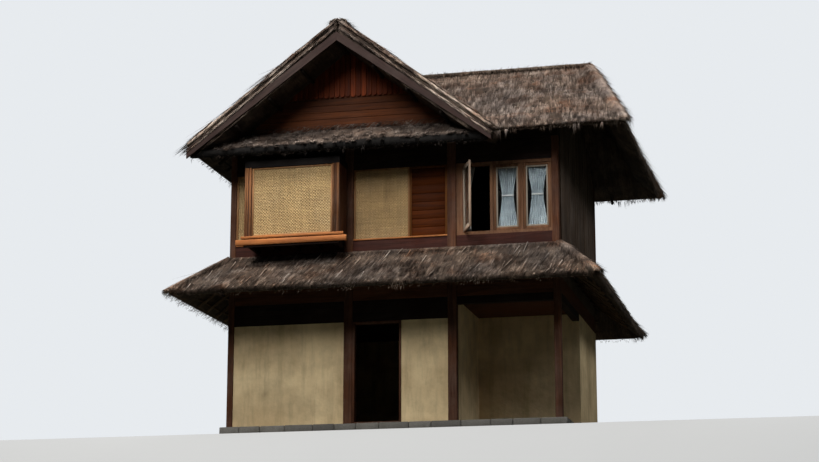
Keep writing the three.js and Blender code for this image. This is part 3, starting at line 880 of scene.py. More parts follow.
def loose_sticks(node, chance):
    corners, normals = top_triangles(node)
    places, which = scattered(corners, STICK_PER_SQUARE_METRE, chance)
    places, which = places[:STICK_COUNT], which[:STICK_COUNT]
    count = len(places)
    normal = normals[which]
    lift = relief(places, corners[:, :, 2].max()) + STICK_LIFT
    roots = places + normal * lift[:, None]
    ways = turned(downward(normal), normal, chance.uniform(*STICK_ANGLE, count))
    lengths = chance.uniform(*STICK_LENGTH, count)
    lengths = np.minimum(lengths, room_to_foot(roots, ways, corners) + 0.05)
    lengths = np.maximum(lengths, STICK_SHORTEST)
    widths = chance.uniform(*STICK_WIDTH, count)
    return wedges(roots, ways, normal, lengths, widths, np.zeros(count))


add_parts("slipped_locks", slipped_locks(np.random.default_rng(301)), LOCK_STRAW)
sticks = loose_sticks("skirt_roof_front", np.random.default_rng(302))
add_parts("loose_sticks", [sticks], STICK_STRAW)

# %% [markdown]
# All the timber shares one recipe: fibres stretched along the board, a tone of its own for
# each board, and a silver bloom. The group takes the direction of the grain as a stretch, so
# that a post and a beam use the same fibres turned the right way.

# %% Timber grain group
GRAIN_UP = (1.0, 1.0, 0.06)
GRAIN_ACROSS = (0.06, 1.0, 1.0)
GRAIN_DEEP = (1.0, 0.06, 1.0)
BOARD_SHIFT = (17.0, 23.0, 31.0)
FIBRE_SCALE = 55.0
FIGURE_SCALE = 11.0
FIBRE_SHARE = 0.45
BLOOM_SCALE = 1.7
GRAIN_INPUTS = {
    "Place": "Vector",
    "Grain run": "Vector",
    "Each board": "Float",
    **dict.fromkeys(("Dark", "Light", "Silver"), "Color"),
    **dict.fromkeys(("Silvering", "Board contrast"), "Float"),
}


def make_grain_group():
    outputs = {"Colour": "Color", "Roughness": "Float", "Height": "Float"}
    group, given, result = new_group("timber grain", GRAIN_INPUTS, outputs)
    value = given.outputs
    shift = {0: BOARD_SHIFT, "Scale": value["Each board"]}
    shift = add_node(group, "ShaderNodeVectorMath", shift, operation="SCALE").outputs[0]
    run = {0: stretched(group, value["Place"], value["Grain run"]), 1: shift}
    run = add_node(group, "ShaderNodeVectorMath", run, operation="ADD").outputs[0]
    fibre = spread(group, noise_value(group, run, FIBRE_SCALE, 5.0, 0.7, 0.3), 0.3, 0.7)
    figure = spread(group, noise_value(group, run, FIGURE_SCALE, 4.0, 0.6, 1.2), 0.34, 0.66)
    tone = mixed(group, FIBRE_SHARE, figure, fibre)
    wood = mixed(group, tone, value["Dark"], value["Light"])
    half = maths(group, "SUBTRACT", value["Each board"], 0.5)
    lightness = maths(group, "ADD", maths(group, "MULTIPLY", half, value["Board contrast"]), 1.0)
    wood = {"Value": lightness, "Color": wood}
    wood = add_node(group, "ShaderNodeHueSaturation", wood).outputs[0]
    bloom = noise_value(group, value["Place"], BLOOM_SCALE, 5.0, 0.65)
    bloom = maths(group, "MULTIPLY", spread(group, bloom, 0.4, 0.68), value["Silvering"])
    bloom = maths(group, "MULTIPLY", bloom, tone)
    group.links.new(mixed(group, bloom, wood, value["Silver"]), result.inputs["Colour"])
    group.links.new(spread(group, tone, 0, 1, 0.58, 0.84), result.inputs["Roughness"])
    group.links.new(fibre, result.inputs["Height"])
    return group


GRAIN_GROUP = make_grain_group()
print("timber grain group made with", len(GRAIN_GROUP.nodes), "nodes")

# %% [markdown]
# Rain runs down walls and leaves faint streaks, and dirt gathers in soft patches.
# One group lays both over any colour, so plaster, boards and stone age in the same way.

# %% Weather group
DOWN_THE_WALL = (1.0, 1.0, 0.12)
STREAK_WIDTH_SCALE = 7.0
PATCH_SCALE = 1.9
WEATHER_INPUTS = {
    "Place": "Vector",
    **dict.fromkeys(("Colour", "Stain"), "Color"),
    **dict.fromkeys(("Streaks", "Patches"), "Float"),
}


def make_weather_group():
    outputs = {"Colour": "Color", "Wet": "Float"}
    group, given, result = new_group("weather", WEATHER_INPUTS, outputs)
    value = given.outputs
    run = stretched(group, value["Place"], DOWN_THE_WALL)
    streak = spread(group, noise_value(group, run, STREAK_WIDTH_SCALE, 5.0, 0.65), 0.48, 0.75)
    patch = noise_value(group, value["Place"], PATCH_SCALE, 6.0, 0.62)
    patch = spread(group, patch, 0.45, 0.7)
    stain = maths(group, "MULTIPLY", streak, value["Streaks"])
    stain = maths(group, "ADD", stain, maths(group, "MULTIPLY", patch, value["Patches"]))
    stain = spread(group, stain, 0, 1)
    group.links.new(mixed(group, stain, value["Colour"], value["Stain"]), result.inputs["Colour"])
    group.links.new(stain, result.inputs["Wet"])
    return group


WEATHER_GROUP = make_weather_group()
print("weather group made with", len(WEATHER_GROUP.nodes), "nodes")

# %% [markdown]
# Each kind of timber is the grain group with its own two browns. The grain runs up a post,
# along a beam, and along the slope of a barge board, which needs its place turned first.

# %% Timber materials
SILVER = rgb(132, 122, 114)
STAIN = rgb(30, 23, 19)
RED_BROWN = (rgb(60, 33, 20), rgb(108, 66, 42))
PURPLE_BROWN = (rgb(44, 20, 15), rgb(78, 40, 30))
DARK_BROWN = (rgb(22, 14, 11), rgb(46, 30, 23))
# Near-black brown: painted shade for the top of the bay under the pent.
PAINTED_SHADE_BROWN = (rgb(10, 7, 6), rgb(24, 17, 14))
ORANGE_BROWN = (rgb(140, 78, 38), rgb(192, 124, 70))
WEATHERED_BROWN = (rgb(36, 24, 21), rgb(66, 48, 43))
GREY_BROWN = (rgb(66, 52, 42), rgb(108, 90, 74))
SASH_BROWN = (rgb(92, 60, 40), rgb(146, 104, 74))
PALE_BROWN = (rgb(140, 114, 94), rgb(200, 174, 150))
OLD_PAINT = (rgb(146, 134, 118), rgb(188, 176, 158))
GABLE_SLOPE = 37.5


def timber_material(name, run, browns, silvering, contrast=0.4, streaks=0.0, tilt=0.0):
    """Sawn timber; tilt turns the grain in the plane of the front, in degrees."""
    material, tree, shader, place = new_material(name, 0.75, 0.12)
    along = place
    if tilt:
        turn = {"Vector": place, "Rotation": (0, math.radians(tilt), 0)}
        along = add_node(tree, "ShaderNodeMapping", turn).outputs[0]
    values = (along, run, each_piece(tree), *browns, SILVER, silvering, contrast)
    grain = use_group(tree, GRAIN_GROUP, *values)
    colour = grain.outputs["Colour"]
    if streaks:
        aged = use_group(tree, WEATHER_GROUP, place, colour, STAIN, streaks, streaks)
        colour = aged.outputs["Colour"]
    tree.links.new(colour, shader.inputs["Base Color"])
    tree.links.new(grain.outputs["Roughness"], shader.inputs["Roughness"])
    bumped(tree, shader, grain.outputs["Height"], 0.003, 0.5)
    return material


POST_TIMBER = timber_material("post_timber", GRAIN_UP, RED_BROWN, 0.35, streaks=0.25)
SILL_TIMBER = timber_material("sill_timber", GRAIN_ACROSS, PURPLE_BROWN, 0.12, streaks=0.2)
BEAM_TIMBER = timber_material("beam_timber", GRAIN_ACROSS, DARK_BROWN, 0.1)
# Painted shade: the bay's roof board is near black, as under the pent's overhang.
PAINTED_SHADE_TIMBER = timber_material("painted_shade_timber", GRAIN_ACROSS, PAINTED_SHADE_BROWN, 0.04)
SIDE_BEAM_TIMBER = timber_material("side_beam_timber", GRAIN_DEEP, DARK_BROWN, 0.1)
FLOOR_TIMBER = timber_material("floor_timber", GRAIN_ACROSS, RED_BROWN, 0.1)
RAIL_TIMBER = timber_material("rail_timber", GRAIN_ACROSS, ORANGE_BROWN, 0.15, 0.3, 0.15)
BAY_TIMBER = timber_material("bay_timber", GRAIN_UP, RED_BROWN, 0.4, streaks=0.15)
SASH_TIMBER = timber_material("sash_timber", GRAIN_UP, SASH_BROWN, 0.25)
PALE_SASH = timber_material("pale_sash", GRAIN_UP, PALE_BROWN, 0.3)
BEAD_PAINT = timber_material("bead_paint", GRAIN_UP, OLD_PAINT, 0.3)
WALL_TIMBER = timber_material("wall_timber", GRAIN_UP, GREY_BROWN, 0.5, 0.5, 0.3)
BARGE = (GRAIN_ACROSS, WEATHERED_BROWN, 0.15, 0.4, 0.2)
BARGE_LEFT = timber_material("barge_left", *BARGE, GABLE_SLOPE)
BARGE_RIGHT = timber_material("barge_right", *BARGE, -GABLE_SLOPE)
print("timber materials made")

# %% [markdown]
# The ground floor is plastered and limewashed, gently uneven and stained by the rain. The
# plinth is grey stone. Its joints are real gaps, so the material carries only the speckle.

# %% Plaster and stone


def age(tree, shader, *values):
    """The weather group laid over a colour, as the surface's colour."""
    aged = use_group(tree, WEATHER_GROUP, *values)
    tree.links.new(aged.outputs["Colour"], shader.inputs["Base Color"])


def plaster_material():
    material, tree, shader, place = new_material("wall_plaster", 0.9, 0.2)
    cloud = spread(tree, noise_value(tree, place, 1.4, 6.0, 0.6), 0.3, 0.7)
    lime = mixed(tree, cloud, rgb(206, 178, 134), rgb(242, 216, 168))
    age(tree, shader, place, lime, rgb(118, 100, 74), 0.32, 0.3)
    bumped(tree, shader, noise_value(tree, place, 9.0, 5.0, 0.6), 0.02, 0.5)
    return material


def stone_material():
    material, tree, shader, place = new_material("plinth_stone", 0.85, 0.3)
    grey = mixed(tree, each_piece(tree), rgb(98, 95, 90), rgb(140, 136, 128))
    speckle = spread(tree, noise_value(tree, place, 70.0, 4.0, 0.7), 0.35, 0.75)
    grey = mixed(tree, speckle, grey, rgb(70, 68, 64))
    age(tree, shader, place, grey, rgb(64, 62, 50), 0.2, 0.5)
    bumped(tree, shader, noise_value(tree, place, 24.0, 6.0, 0.7), 0.01, 0.7)
    return material


PLASTER = plaster_material()
STONE = stone_material()
print("plaster and stone made")

# %% [markdown]
# Old window glass has a slight ripple, and it lets light through to the curtains. These are
# thin plain cloth: threads in two directions, and an open weave for the sheers.

# %% Glass and cloth
GLASS_SHADOW = 0.1
THREAD_TINT = 0.25
SHEER_SHADES = (rgb(142, 152, 159), rgb(192, 200, 205))
CURTAIN_SHADES = (rgb(120, 118, 112), rgb(168, 164, 154))
BAND_SHADES = (rgb(186, 184, 182), rgb(226, 222, 218))


def glass_material():
    material, tree, shader, place = new_material("pane_glass", 0.04, 0.5)
    shadow = tree.nodes.new("ShaderNodeLightPath").outputs["Is Shadow Ray"]
    tree.links.new(spread(tree, shadow, 0, 1, 1.0, GLASS_SHADOW), shader.inputs["Alpha"])
    ripple = noise_value(tree, place, 3.0, 2.0)
    tree.links.new(spread(tree, ripple, 0, 1, 0.02, 0.08), shader.inputs["Roughness"])
    tint = mixed(tree, ripple, rgb(238, 244, 242), rgb(250, 252, 251))
    tree.links.new(tint, shader.inputs["Base Color"])
    shader.inputs["Transmission Weight"].default_value = 1.0
    shader.inputs["IOR"].default_value = 1.45
    bumped(tree, shader, ripple, 0.002, 0.15)
    return material


def cloth_material(name, shades, threads, see_through=0.0):
    """A plain woven cloth, with threads per metre, and how open the weave is."""
    material, tree, shader, place = new_material(name, 0.85, 0.15)
    shader.inputs["Sheen Weight"].default_value = 0.3
    warp = {"Vector": place, "Scale": threads}
    across = add_node(tree, "ShaderNodeTexWave", warp, bands_direction="X").outputs["Fac"]
    down = add_node(tree, "ShaderNodeTexWave", warp, bands_direction="Z").outputs["Fac"]
    weave = maths(tree, "MAXIMUM", across, down)
    cloud = spread(tree, noise_value(tree, place, 5.0, 3.0), 0.3, 0.7)
    colour = mixed(tree, cloud, *shades)
    colour = mixed(tree, maths(tree, "MULTIPLY", weave, THREAD_TINT), colour, shades[1])
    tree.links.new(colour, shader.inputs["Base Color"])
    if see_through:
        tree.links.new(spread(tree, weave, 0, 1, 1 - see_through, 1.0), shader.inputs["Alpha"])
    bumped(tree, shader, weave, 0.0006, 0.5)
    return material


GLASS = glass_material()
SHEER_CLOTH = cloth_material("sheer_cloth", SHEER_SHADES, 260.0, 0.2)
CURTAIN_CLOTH = cloth_material("curtain_cloth", CURTAIN_SHADES, 220.0)
BAND_CLOTH = cloth_material("band_cloth", BAND_SHADES, 200.0)
print("glass and cloth made")

# %% [markdown]
# Split bamboo is a kind of timber too: fine fibres along each strip, a tone of its own for
# each, and stains. So it takes the grain group and then the weather group.

# %% Bamboo
BAMBOO_SILVER = rgb(150, 138, 116)
BAMBOO_STAIN = rgb(92, 70, 44)
BLIND_SHADES = (rgb(156, 124, 78), rgb(204, 172, 118))
PANEL_SHADES = (rgb(164, 130, 84), rgb(214, 178, 122))
EDGE_SHADES = (rgb(134, 88, 48), rgb(180, 130, 80))


def bamboo_material(name, shades, run):
    material, tree, shader, place = new_material(name, 0.6, 0.35)
    values = (place, run, each_piece(tree), *shades, BAMBOO_SILVER, 0.35, 0.2)
    grain = use_group(tree, GRAIN_GROUP, *values)
    age(tree, shader, place, grain.outputs["Colour"], BAMBOO_STAIN, 0.25, 0.25)
    tree.links.new(grain.outputs["Roughness"], shader.inputs["Roughness"])
    bumped(tree, shader, grain.outputs["Height"], 0.001, 0.5)
    return material


BLIND_BAMBOO = bamboo_material("blind_bamboo", BLIND_SHADES, GRAIN_ACROSS)
PANEL_BAMBOO = bamboo_material("panel_bamboo", PANEL_SHADES, GRAIN_ACROSS)
EDGE_BAMBOO = bamboo_material("edge_bamboo", EDGE_SHADES, GRAIN_UP)
print("bamboo made")

# %% [markdown]
# The posts, beams, walls and frames keep the model's own shapes. Each one only needs the
# material with the grain that runs along it.

# %% Finish the model's own pieces
KEPT_FINISH = {
    POST_TIMBER: ("front_post_left", "front_post_middle", "front_post_wing", "front_post_right"),
    SILL_TIMBER: ("front_sill_wall",),
    BEAM_TIMBER: (
        "front_head_beam",
        "ground_transom_beam",
        "porch_front_lintel",
        "front_pediment",
        "back_pediment",
    ),
    # painted shade on the bay's roof board
    PAINTED_SHADE_TIMBER: ("bay_roof",),
    SIDE_BEAM_TIMBER: ("porch_side_lintel",),
    FLOOR_TIMBER: ("upper_floor",),
    BAY_TIMBER: ("bay_side_left", "bay_side_right"),
    SASH_TIMBER: ("front_window_frame",),
    BARGE_LEFT: ("front_bargeboard_left", "back_bargeboard_left"),
    BARGE_RIGHT: ("front_bargeboard_right", "back_bargeboard_right"),
    WALL_TIMBER: ("upper_left_wall", "upper_right_wall", "upper_back_wall"),
    PLASTER: (
        "ground_front_wall_left",
        "ground_front_wall_right",
        "ground_left_wall",
        "ground_right_wall",
        "ground_back_wall",
        "porch_back_wall",
        "porch_side_wall",
    ),
}
for finish, kept_nodes in KEPT_FINISH.items():
    for kept_node in kept_nodes:
        NODES[kept_node].data.materials.clear()
        NODES[kept_node].data.materials.append(finish)
print("finished", sum(len(n) for n in KEPT_FINISH.values()), "pieces of the model")

# %% [markdown]
# Boards, rails and battens are long boxes. One helper places a box between two points, so it
# can lie at any slope. Another softens the sawn edges, because a sharp edge catches no light.

# %% Board helpers
CLOSE_FIT = 0.0005
SAWN_EDGE = 0.003
FINE_EDGE = 0.002
BOX_FACES = np.array(
    [(0, 1, 3, 2), (4, 6, 7, 5), (0, 4, 5, 1), (2, 3, 7, 6), (0, 2, 6, 4), (1, 5, 7, 3)]
)


def board(start, end, width, thick, face):
    """A box from start to end; face is the way that its thickness points."""
    start = np.asarray(start, float)
    end = np.asarray(end, float)
    face = np.asarray(face, float)
    run = (end - start) / np.linalg.norm(end - start)
    side = np.cross(face, run) * width / 2
    deep = face * thick / 2
    corners = [s * side + d * deep for s in (-1, 1) for d in (-1, 1)]
    return np.array([place + corner for place in (start, end) for corner in corners]), BOX_FACES


def upright(x, z_low, z_high, width, y_low, y_high):
    y = (y_low + y_high) / 2
    return board((x, y, z_low), (x, y, z_high), width, y_high - y_low, (0, -1, 0))


def level(x_low, x_high, z, height, y_low, y_high):
    y = (y_low + y_high) / 2
    return board((x_low, y, z), (x_high, y, z), height, y_high - y_low, (0, -1, 0))


def four_boards(place, across, heights, width, thick, face=(0, -1, 0)):
    """Boards just inside a rectangle; place turns a distance across and a height into a point."""
    left, right = across
    foot, head = heights
    half = width / 2
    ends = [(place(x, foot), place(x, head)) for x in (left + half, right - half)]
    for z in (foot + half, head - half):
        ends.append((place(left + width, z), place(right - width, z)))
    return [board(*pair, width, thick, face) for pair in ends]


def wall_frame(low, high, y_low, y_high, width):
    """Four boards inside a rectangle (x, z) on a front or back wall."""
    y = (y_low + y_high) / 2
    sides = ((low[0], high[0]), (low[1], high[1]))
    return four_boards(lambda x, z: (x, y, z), *sides, width, y_high - y_low)


def soften(piece, width):
    edge = piece.modifiers.new("soft edge", "BEVEL")
    edge.width = width
    edge.segments = 1
    edge.limit_method = "ANGLE"


def add_boards(name, parts, material, slot, stands_for=(), edge=SAWN_EDGE):
    mesh = faces_outward(mesh_from(name, *joined_arrays(parts)))
    soften(add_piece(name, mesh, material, slot, stands_for), edge)


print("board helpers ready")

# %% [markdown]
# The gable is filled with boards. Upright boards with rounded lower ends hang over level
# boards, a common way to shed rain. Their ends are cut to the slope of the roof, so they
# can't be boxes, and each one is drawn as a flat outline first.

# %% Outlines of the gable boards
GABLE_X = (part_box("gable_roof_left")[0].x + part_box("gable_roof_right")[1].x) / 2
GABLE_BASE = 5.60
GABLE_UNDER_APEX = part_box("front_pediment")[1].z
GABLE_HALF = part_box("front_pediment")[1].x - GABLE_X
GABLE_FALL = (GABLE_UNDER_APEX - GABLE_BASE) / GABLE_HALF
SCALLOP_Z = 6.52
SCALLOP_LAP = 0.05
SCALLOP_UNEVEN = 0.006
ARC_STEPS = 6
UPRIGHT_WIDTH = 0.105
UPRIGHT_TUCK = 0.05
LEVEL_HEIGHT = 0.132
LEVEL_TUCK = 0.02
LEVEL_STOP = SCALLOP_Z + 0.02
BOARD_GAP = 0.006


def gable_half_width(z):
    return (GABLE_UNDER_APEX - z) / GABLE_FALL


def rounded_board(x, z_low, z_high, width):
    half = width / 2
    arc = [math.pi + math.pi * i / ARC_STEPS for i in range(ARC_STEPS + 1)]
    outline = [(x + half * math.cos(a), z_low + half + half * math.sin(a)) for a in arc]
    return outline + [(x + half, z_high), (x - half, z_high)]


def gable_uprights():
    count = int(2 * gable_half_width(SCALLOP_Z) / UPRIGHT_WIDTH)
    chance = random.Random(5)
    outlines = []
    for i in range(count):
        x = (i + 0.5 - count / 2) * UPRIGHT_WIDTH
        top = GABLE_UNDER_APEX - abs(x) * GABLE_FALL + UPRIGHT_TUCK
        low = SCALLOP_Z - SCALLOP_LAP + chance.uniform(-SCALLOP_UNEVEN, SCALLOP_UNEVEN)
        if top > low + UPRIGHT_WIDTH:
            outlines.append(rounded_board(GABLE_X + x, low, top, UPRIGHT_WIDTH - BOARD_GAP))
    return outlines


def gable_levels(z_start):
    """Outlines of the level boards up to the rounded feet, with ends cut to the slope."""
    outlines = []
    z = z_start
    while z < LEVEL_STOP:
        top = z + LEVEL_HEIGHT - BOARD_GAP
        low_half, top_half = (gable_half_width(edge) + LEVEL_TUCK for edge in (z, top))
        low_edge = [(GABLE_X - low_half, z), (GABLE_X + low_half, z)]
        outlines.append(low_edge + [(GABLE_X + top_half, top), (GABLE_X - top_half, top)])
        z += LEVEL_HEIGHT
    return outlines


print("gable is", round(2 * GABLE_HALF, 2), "m wide at its foot")

# %% [markdown]
# An outline becomes a board when it gets a thickness. The level boards stand just in front of
# the model's gable wall, and the uprights hang over them. The back gable repeats the front.

# %% Gable boards
UPRIGHT_THICK = 0.04
LEVEL_THICK = 0.012
UPRIGHT_BROWN = (rgb(66, 26, 10), rgb(134, 60, 28))
LEVEL_BROWN = (rgb(56, 27, 11), rgb(104, 56, 27))
UPRIGHT_WOOD = timber_material("gable_upright_wood", GRAIN_UP, UPRIGHT_BROWN, 0.05, 0.7)
LEVEL_WOOD = timber_material("gable_level_wood", GRAIN_ACROSS, LEVEL_BROWN, 0.06, 0.5)
FRONT_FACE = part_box("front_pediment")[0].y
BACK_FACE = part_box("back_pediment")[1].y
GABLE_ENDS = (
    # end, face of its wall, the way out, foot of the lowest level board
    ("front", FRONT_FACE, -1, 5.80),
    ("back", BACK_FACE, 1, 5.62),
)


def add_plates(name, outlines, y_low, y_high, material, slot):
    """Flat outlines in x and z, cut out of a board of even thickness."""
    points, faces = [], []
    for outline in outlines:
        first, count = len(points), len(outline)
        points += [(x, y, z) for y in (y_low, y_high) for x, z in outline]
        faces.append([first + i for i in range(count)])
        faces.append([first + count + i for i in reversed(range(count))])
        for i in range(count):
            j = (i + 1) % count
            faces.append([first + j, first + i, first + count + i, first + count + j])
    mesh = bpy.data.meshes.new(name)
    mesh.from_pydata(points, [], faces)
    soften(add_piece(name, faces_outward(mesh), material, slot), SAWN_EDGE)


for end_name, face, outward, z_start in GABLE_ENDS:
    for kind, outlines, wood, inner, outer in (
        ("levels", gable_levels(z_start), LEVEL_WOOD, 0.0, LEVEL_THICK),
        ("uprights", gable_uprights(), UPRIGHT_WOOD, LEVEL_THICK, UPRIGHT_THICK),
    ):
        depths = sorted((face + outward * (inner + CLOSE_FIT), face + outward * outer))
        add_plates(f"{end_name}_gable_{kind}", outlines, *depths, wood, "pediment_boards")

# %% [markdown]
# The blinds and panels are woven from split bamboo. The weave is real here: every strip
# passes over one neighbour and under the next, so the mat catches light at each crossing.

# %% Woven mats
WEAVE_PITCH = 0.027
WEAVE_WANDER = 0.0008
STRIP_WIDTH = WEAVE_PITCH * 0.9
STRIP_THICK = 0.002
STRIP_SWING = STRIP_THICK * 0.6
EDGE_SLAT = 0.035
EDGE_ROOM = STRIP_THICK * 1.5


def ribbons(paths, side, face):
    """Flat strips along K paths of N points, as one closed mesh for each strip."""
    side = np.asarray(side, float) * STRIP_WIDTH / 2
    face = np.asarray(face, float) * STRIP_THICK / 2
    ring = np.array([side + face, -side + face, -side - face, side - face])
    strips, length = paths.shape[:2]
    points = (paths[:, :, None, :] + ring).reshape(-1, 3)
    walls = []
    for i in range(length - 1):
        for a in range(4):
            b = (a + 1) % 4
            walls.append((4 * i + a, 4 * i + b, 4 * i + 4 + b, 4 * i + 4 + a))
    last = 4 * (length - 1)
    walls += [(3, 2, 1, 0), (last, last + 1, last + 2, last + 3)]
    faces = np.arange(strips)[:, None, None] * 4 * length + np.array(walls)
    return points, faces.reshape(-1, 4)


def strip_places(low, high):
    """The middles of strips laid side by side between two places."""
    count = max(2, round((high - low) / WEAVE_PITCH))
    return low + (np.arange(count) + 0.5) * (high - low) / count


def strip_paths(own, crossed, ends, axis, y, chance):
    """Paths of strips at their own places, over and under each strip that they cross."""
    paths = np.empty((len(own), len(crossed), 3))
    paths[:, :, axis] = own[:, None] + chance.normal(0, WEAVE_WANDER, (len(own), 1))
    paths[:, :, 1] = y
    paths[:, :, 2 - axis] = crossed
    paths[:, 0, 2 - axis], paths[:, -1, 2 - axis] = ends
    return paths


def woven_mat(name, low, high, y, material, slot, stands_for):
    """A plain weave between two corners (x, z) in the plane y."""
    xs, zs = strip_places(low[0], high[0]), strip_places(low[1], high[1])
    chance = np.random.default_rng(len(name))
    odd = (np.arange(len(xs))[:, None] + np.arange(len(zs))) % 2
    over = np.where(odd, 1.0, -1.0) * STRIP_SWING
    ups = strip_paths(xs, zs, (low[1], high[1]), 0, y + over, chance)
    levels = strip_paths(zs, xs, (low[0], high[0]), 2, y - over.T, chance)
    strips = [ribbons(ups, (1, 0, 0), (0, 1, 0)), ribbons(levels, (0, 0, 1), (0, 1, 0))]
    mesh = faces_outward(mesh_from(name, *joined_arrays(strips)))
    add_piece(name, mesh, material, slot, stands_for)


def fill_with_mat(node, material):
    low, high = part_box(node)
    y = (low.y + high.y) / 2
    corners = ((low.x, low.z), (high.x, high.z))
    woven_mat(node + "_weave", *corners, y, material, "matting", (node,))
    for side, depths in (
        ("edging", (low.y, y - EDGE_ROOM)),
        ("backing", (y + EDGE_ROOM, high.y)),
    ):
        slats = wall_frame(*corners, *depths, EDGE_SLAT)
        add_boards(f"{node}_{side}", slats, EDGE_BAMBOO, "matting", edge=FINE_EDGE)


fill_with_mat("bay_blind", BLIND_BAMBOO)
fill_with_mat("front_matting_panel", PANEL_BAMBOO)
fill_with_mat("front_matting_strip", PANEL_BAMBOO)

# %% [markdown]
# The shutter beside the matting is a light frame filled with lapped boards. Each board leans
# out at its lower edge and covers the one below.

# %% Lapped shutters
LOUVRE_BOARD = 0.16
LOUVRE_THICK = 0.014
LOUVRE_LEAN = 0.011
LOUVRE_LAP = 0.012
LOUVRE_FRAME = 0.045
SHUTTER_GAP = 0.004
FRAME_BROWN = (rgb(82, 46, 18), rgb(114, 70, 30))
SHADED_RED = (rgb(54, 21, 1), rgb(98, 44, 4))
LOUVRE_EDGE = timber_material("louvre_edge", GRAIN_UP, FRAME_BROWN, 0.05)
LOUVRE_WOOD = timber_material("louvre_wood", GRAIN_ACROSS, SHADED_RED, 0.02, 0.35)


def lapped_boards(x_low, x_high, z_low, z_high, y, outward):
    count = round((z_high - z_low) / LOUVRE_BOARD)
    step = (z_high - z_low) / count
    parts = []
    for i in range(count):
        bottom = np.array([0, y + outward * LOUVRE_LEAN / 2, z_low + i * step])
        top = np.array([0, y - outward * LOUVRE_LEAN / 2, z_low + (i + 1) * step + LOUVRE_LAP])
        middle = (bottom + top) / 2
        rise = top - bottom
        height = np.linalg.norm(rise)
        middle[2] = min(middle[2], z_high - height / 2)
        ends = (middle + np.array([x, 0, 0]) for x in (x_low, x_high))
        parts.append(board(*ends, height, LOUVRE_THICK, np.cross((1, 0, 0), rise / height)))
    return parts


def shutter(name, node, x_low, x_high, outward, stands_for):
    low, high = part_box(node)
    frame_parts = wall_frame((x_low, low.z), (x_high, high.z), low.y, high.y, LOUVRE_FRAME)
    add_boards(name + "_frame", frame_parts, LOUVRE_EDGE, "louvre", stands_for)
    across = (x_low + LOUVRE_FRAME, x_high - LOUVRE_FRAME)
    heights = (low.z + LOUVRE_FRAME, high.z - LOUVRE_FRAME)
    boards = lapped_boards(*across, *heights, (low.y + high.y) / 2, outward)
    add_boards(name + "_boards", boards, LOUVRE_WOOD, "louvre", edge=FINE_EDGE)


FRONT_SHUTTER, BACK_SHUTTERS = "front_louvre_shutter", "back_louvre_shutters"
shutter_low, shutter_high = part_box(FRONT_SHUTTER)
shutter("front_louvre", FRONT_SHUTTER, shutter_low.x, shutter_high.x, -1, (FRONT_SHUTTER,))
back_low, back_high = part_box(BACK_SHUTTERS)
meeting = (back_low.x + back_high.x) / 2
left_edge, right_edge = meeting - SHUTTER_GAP / 2, meeting + SHUTTER_GAP / 2
shutter("back_louvre_left", BACK_SHUTTERS, back_low.x, left_edge, 1, (BACK_SHUTTERS,))
shutter("back_louvre_right", BACK_SHUTTERS, right_edge, back_high.x, 1, ())

# %% [markdown]
# Round poles carry the thatch. A peeled pole is never quite straight or even, so the helper
# lets its middle wander and its thickness taper. It is a tube of rings joined by triangles,
# and the rolls of straw on the ridge will be built in the same way.

# %% Pole helpers
POLE_SIDES = 8
UPRIGHT_RUN = 0.9


def axes(start, end):
    run = (end - start) / np.linalg.norm(end - start)
    hint = (0.0, 0.0, 1.0) if abs(run[2]) < UPRIGHT_RUN else (0.0, 1.0, 0.0)
    side = np.cross(run, hint)
    side = side / np.linalg.norm(side)
    return run, side, np.cross(side, run)


def tube_faces(steps, sides):
    """Triangles between rings of points, and to the two end points that follow the rings."""
    faces = []
    for step in range(steps):
        for i in range(sides):
            a, b = step * sides + i, step * sides + (i + 1) % sides
            faces += [(a, b, b + sides), (a, b + sides, a + sides)]
    top = steps * sides
    first, last = top + sides, top + sides + 1
    for i in range(sides):
        j = (i + 1) % sides
        faces += [(first, j, i), (last, top + i, top + j)]
    return np.array(faces)


def pole(start, end, thick, thin, steps=3, bend=0.0, chance=None):
    """A round pole between two points, in triangles, thicker at its start."""
    start, end = np.asarray(start, float), np.asarray(end, float)
    _, side, up = axes(start, end)
    angles = np.arange(POLE_SIDES) * 2 * math.pi / POLE_SIDES
    points = []
    for step in range(steps + 1):
        share = step / steps
        middle = start + (end - start) * share
        if chance is not None and 0 < step < steps:
            middle = middle + side * chance.uniform(-bend, bend) + up * chance.uniform(-bend, bend)
        radius = thick + (thin - thick) * share
        points += [middle + radius * (math.cos(a) * side + math.sin(a) * up) for a in angles]
    points += [start, end]
    return np.array(points), tube_faces(steps, POLE_SIDES)


def add_poles(name, parts, material, slot):
    add_parts(name, parts, material, slot).data.shade_smooth()


print("pole helpers ready")

# %% [markdown]
# A sash is four rails round one pane of glass. In the model each sash is one solid, so here
# rails and a sheet of glass take its place, and the curtains behind the glass show. The rails
# meet in butt joints, and four thin painted beads hold the glass in.

# %% Sashes
SASH_RAIL = 0.055
SASH_EDGE = 0.004
PANE_THICK = 0.004
PANE_BITE = 0.006
BEAD_WIDTH = 0.028
BEAD_THICK = 0.012
BEAD_ROOM = 0.001
BEAD_EDGE = 0.002
OPEN_ANGLE = math.radians(65)
SHUT_LOW, SHUT_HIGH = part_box("front_sash_middle")
SASH_WIDTH = SHUT_HIGH.x - SHUT_LOW.x
SASH_THICK = SHUT_HIGH.y - SHUT_LOW.y


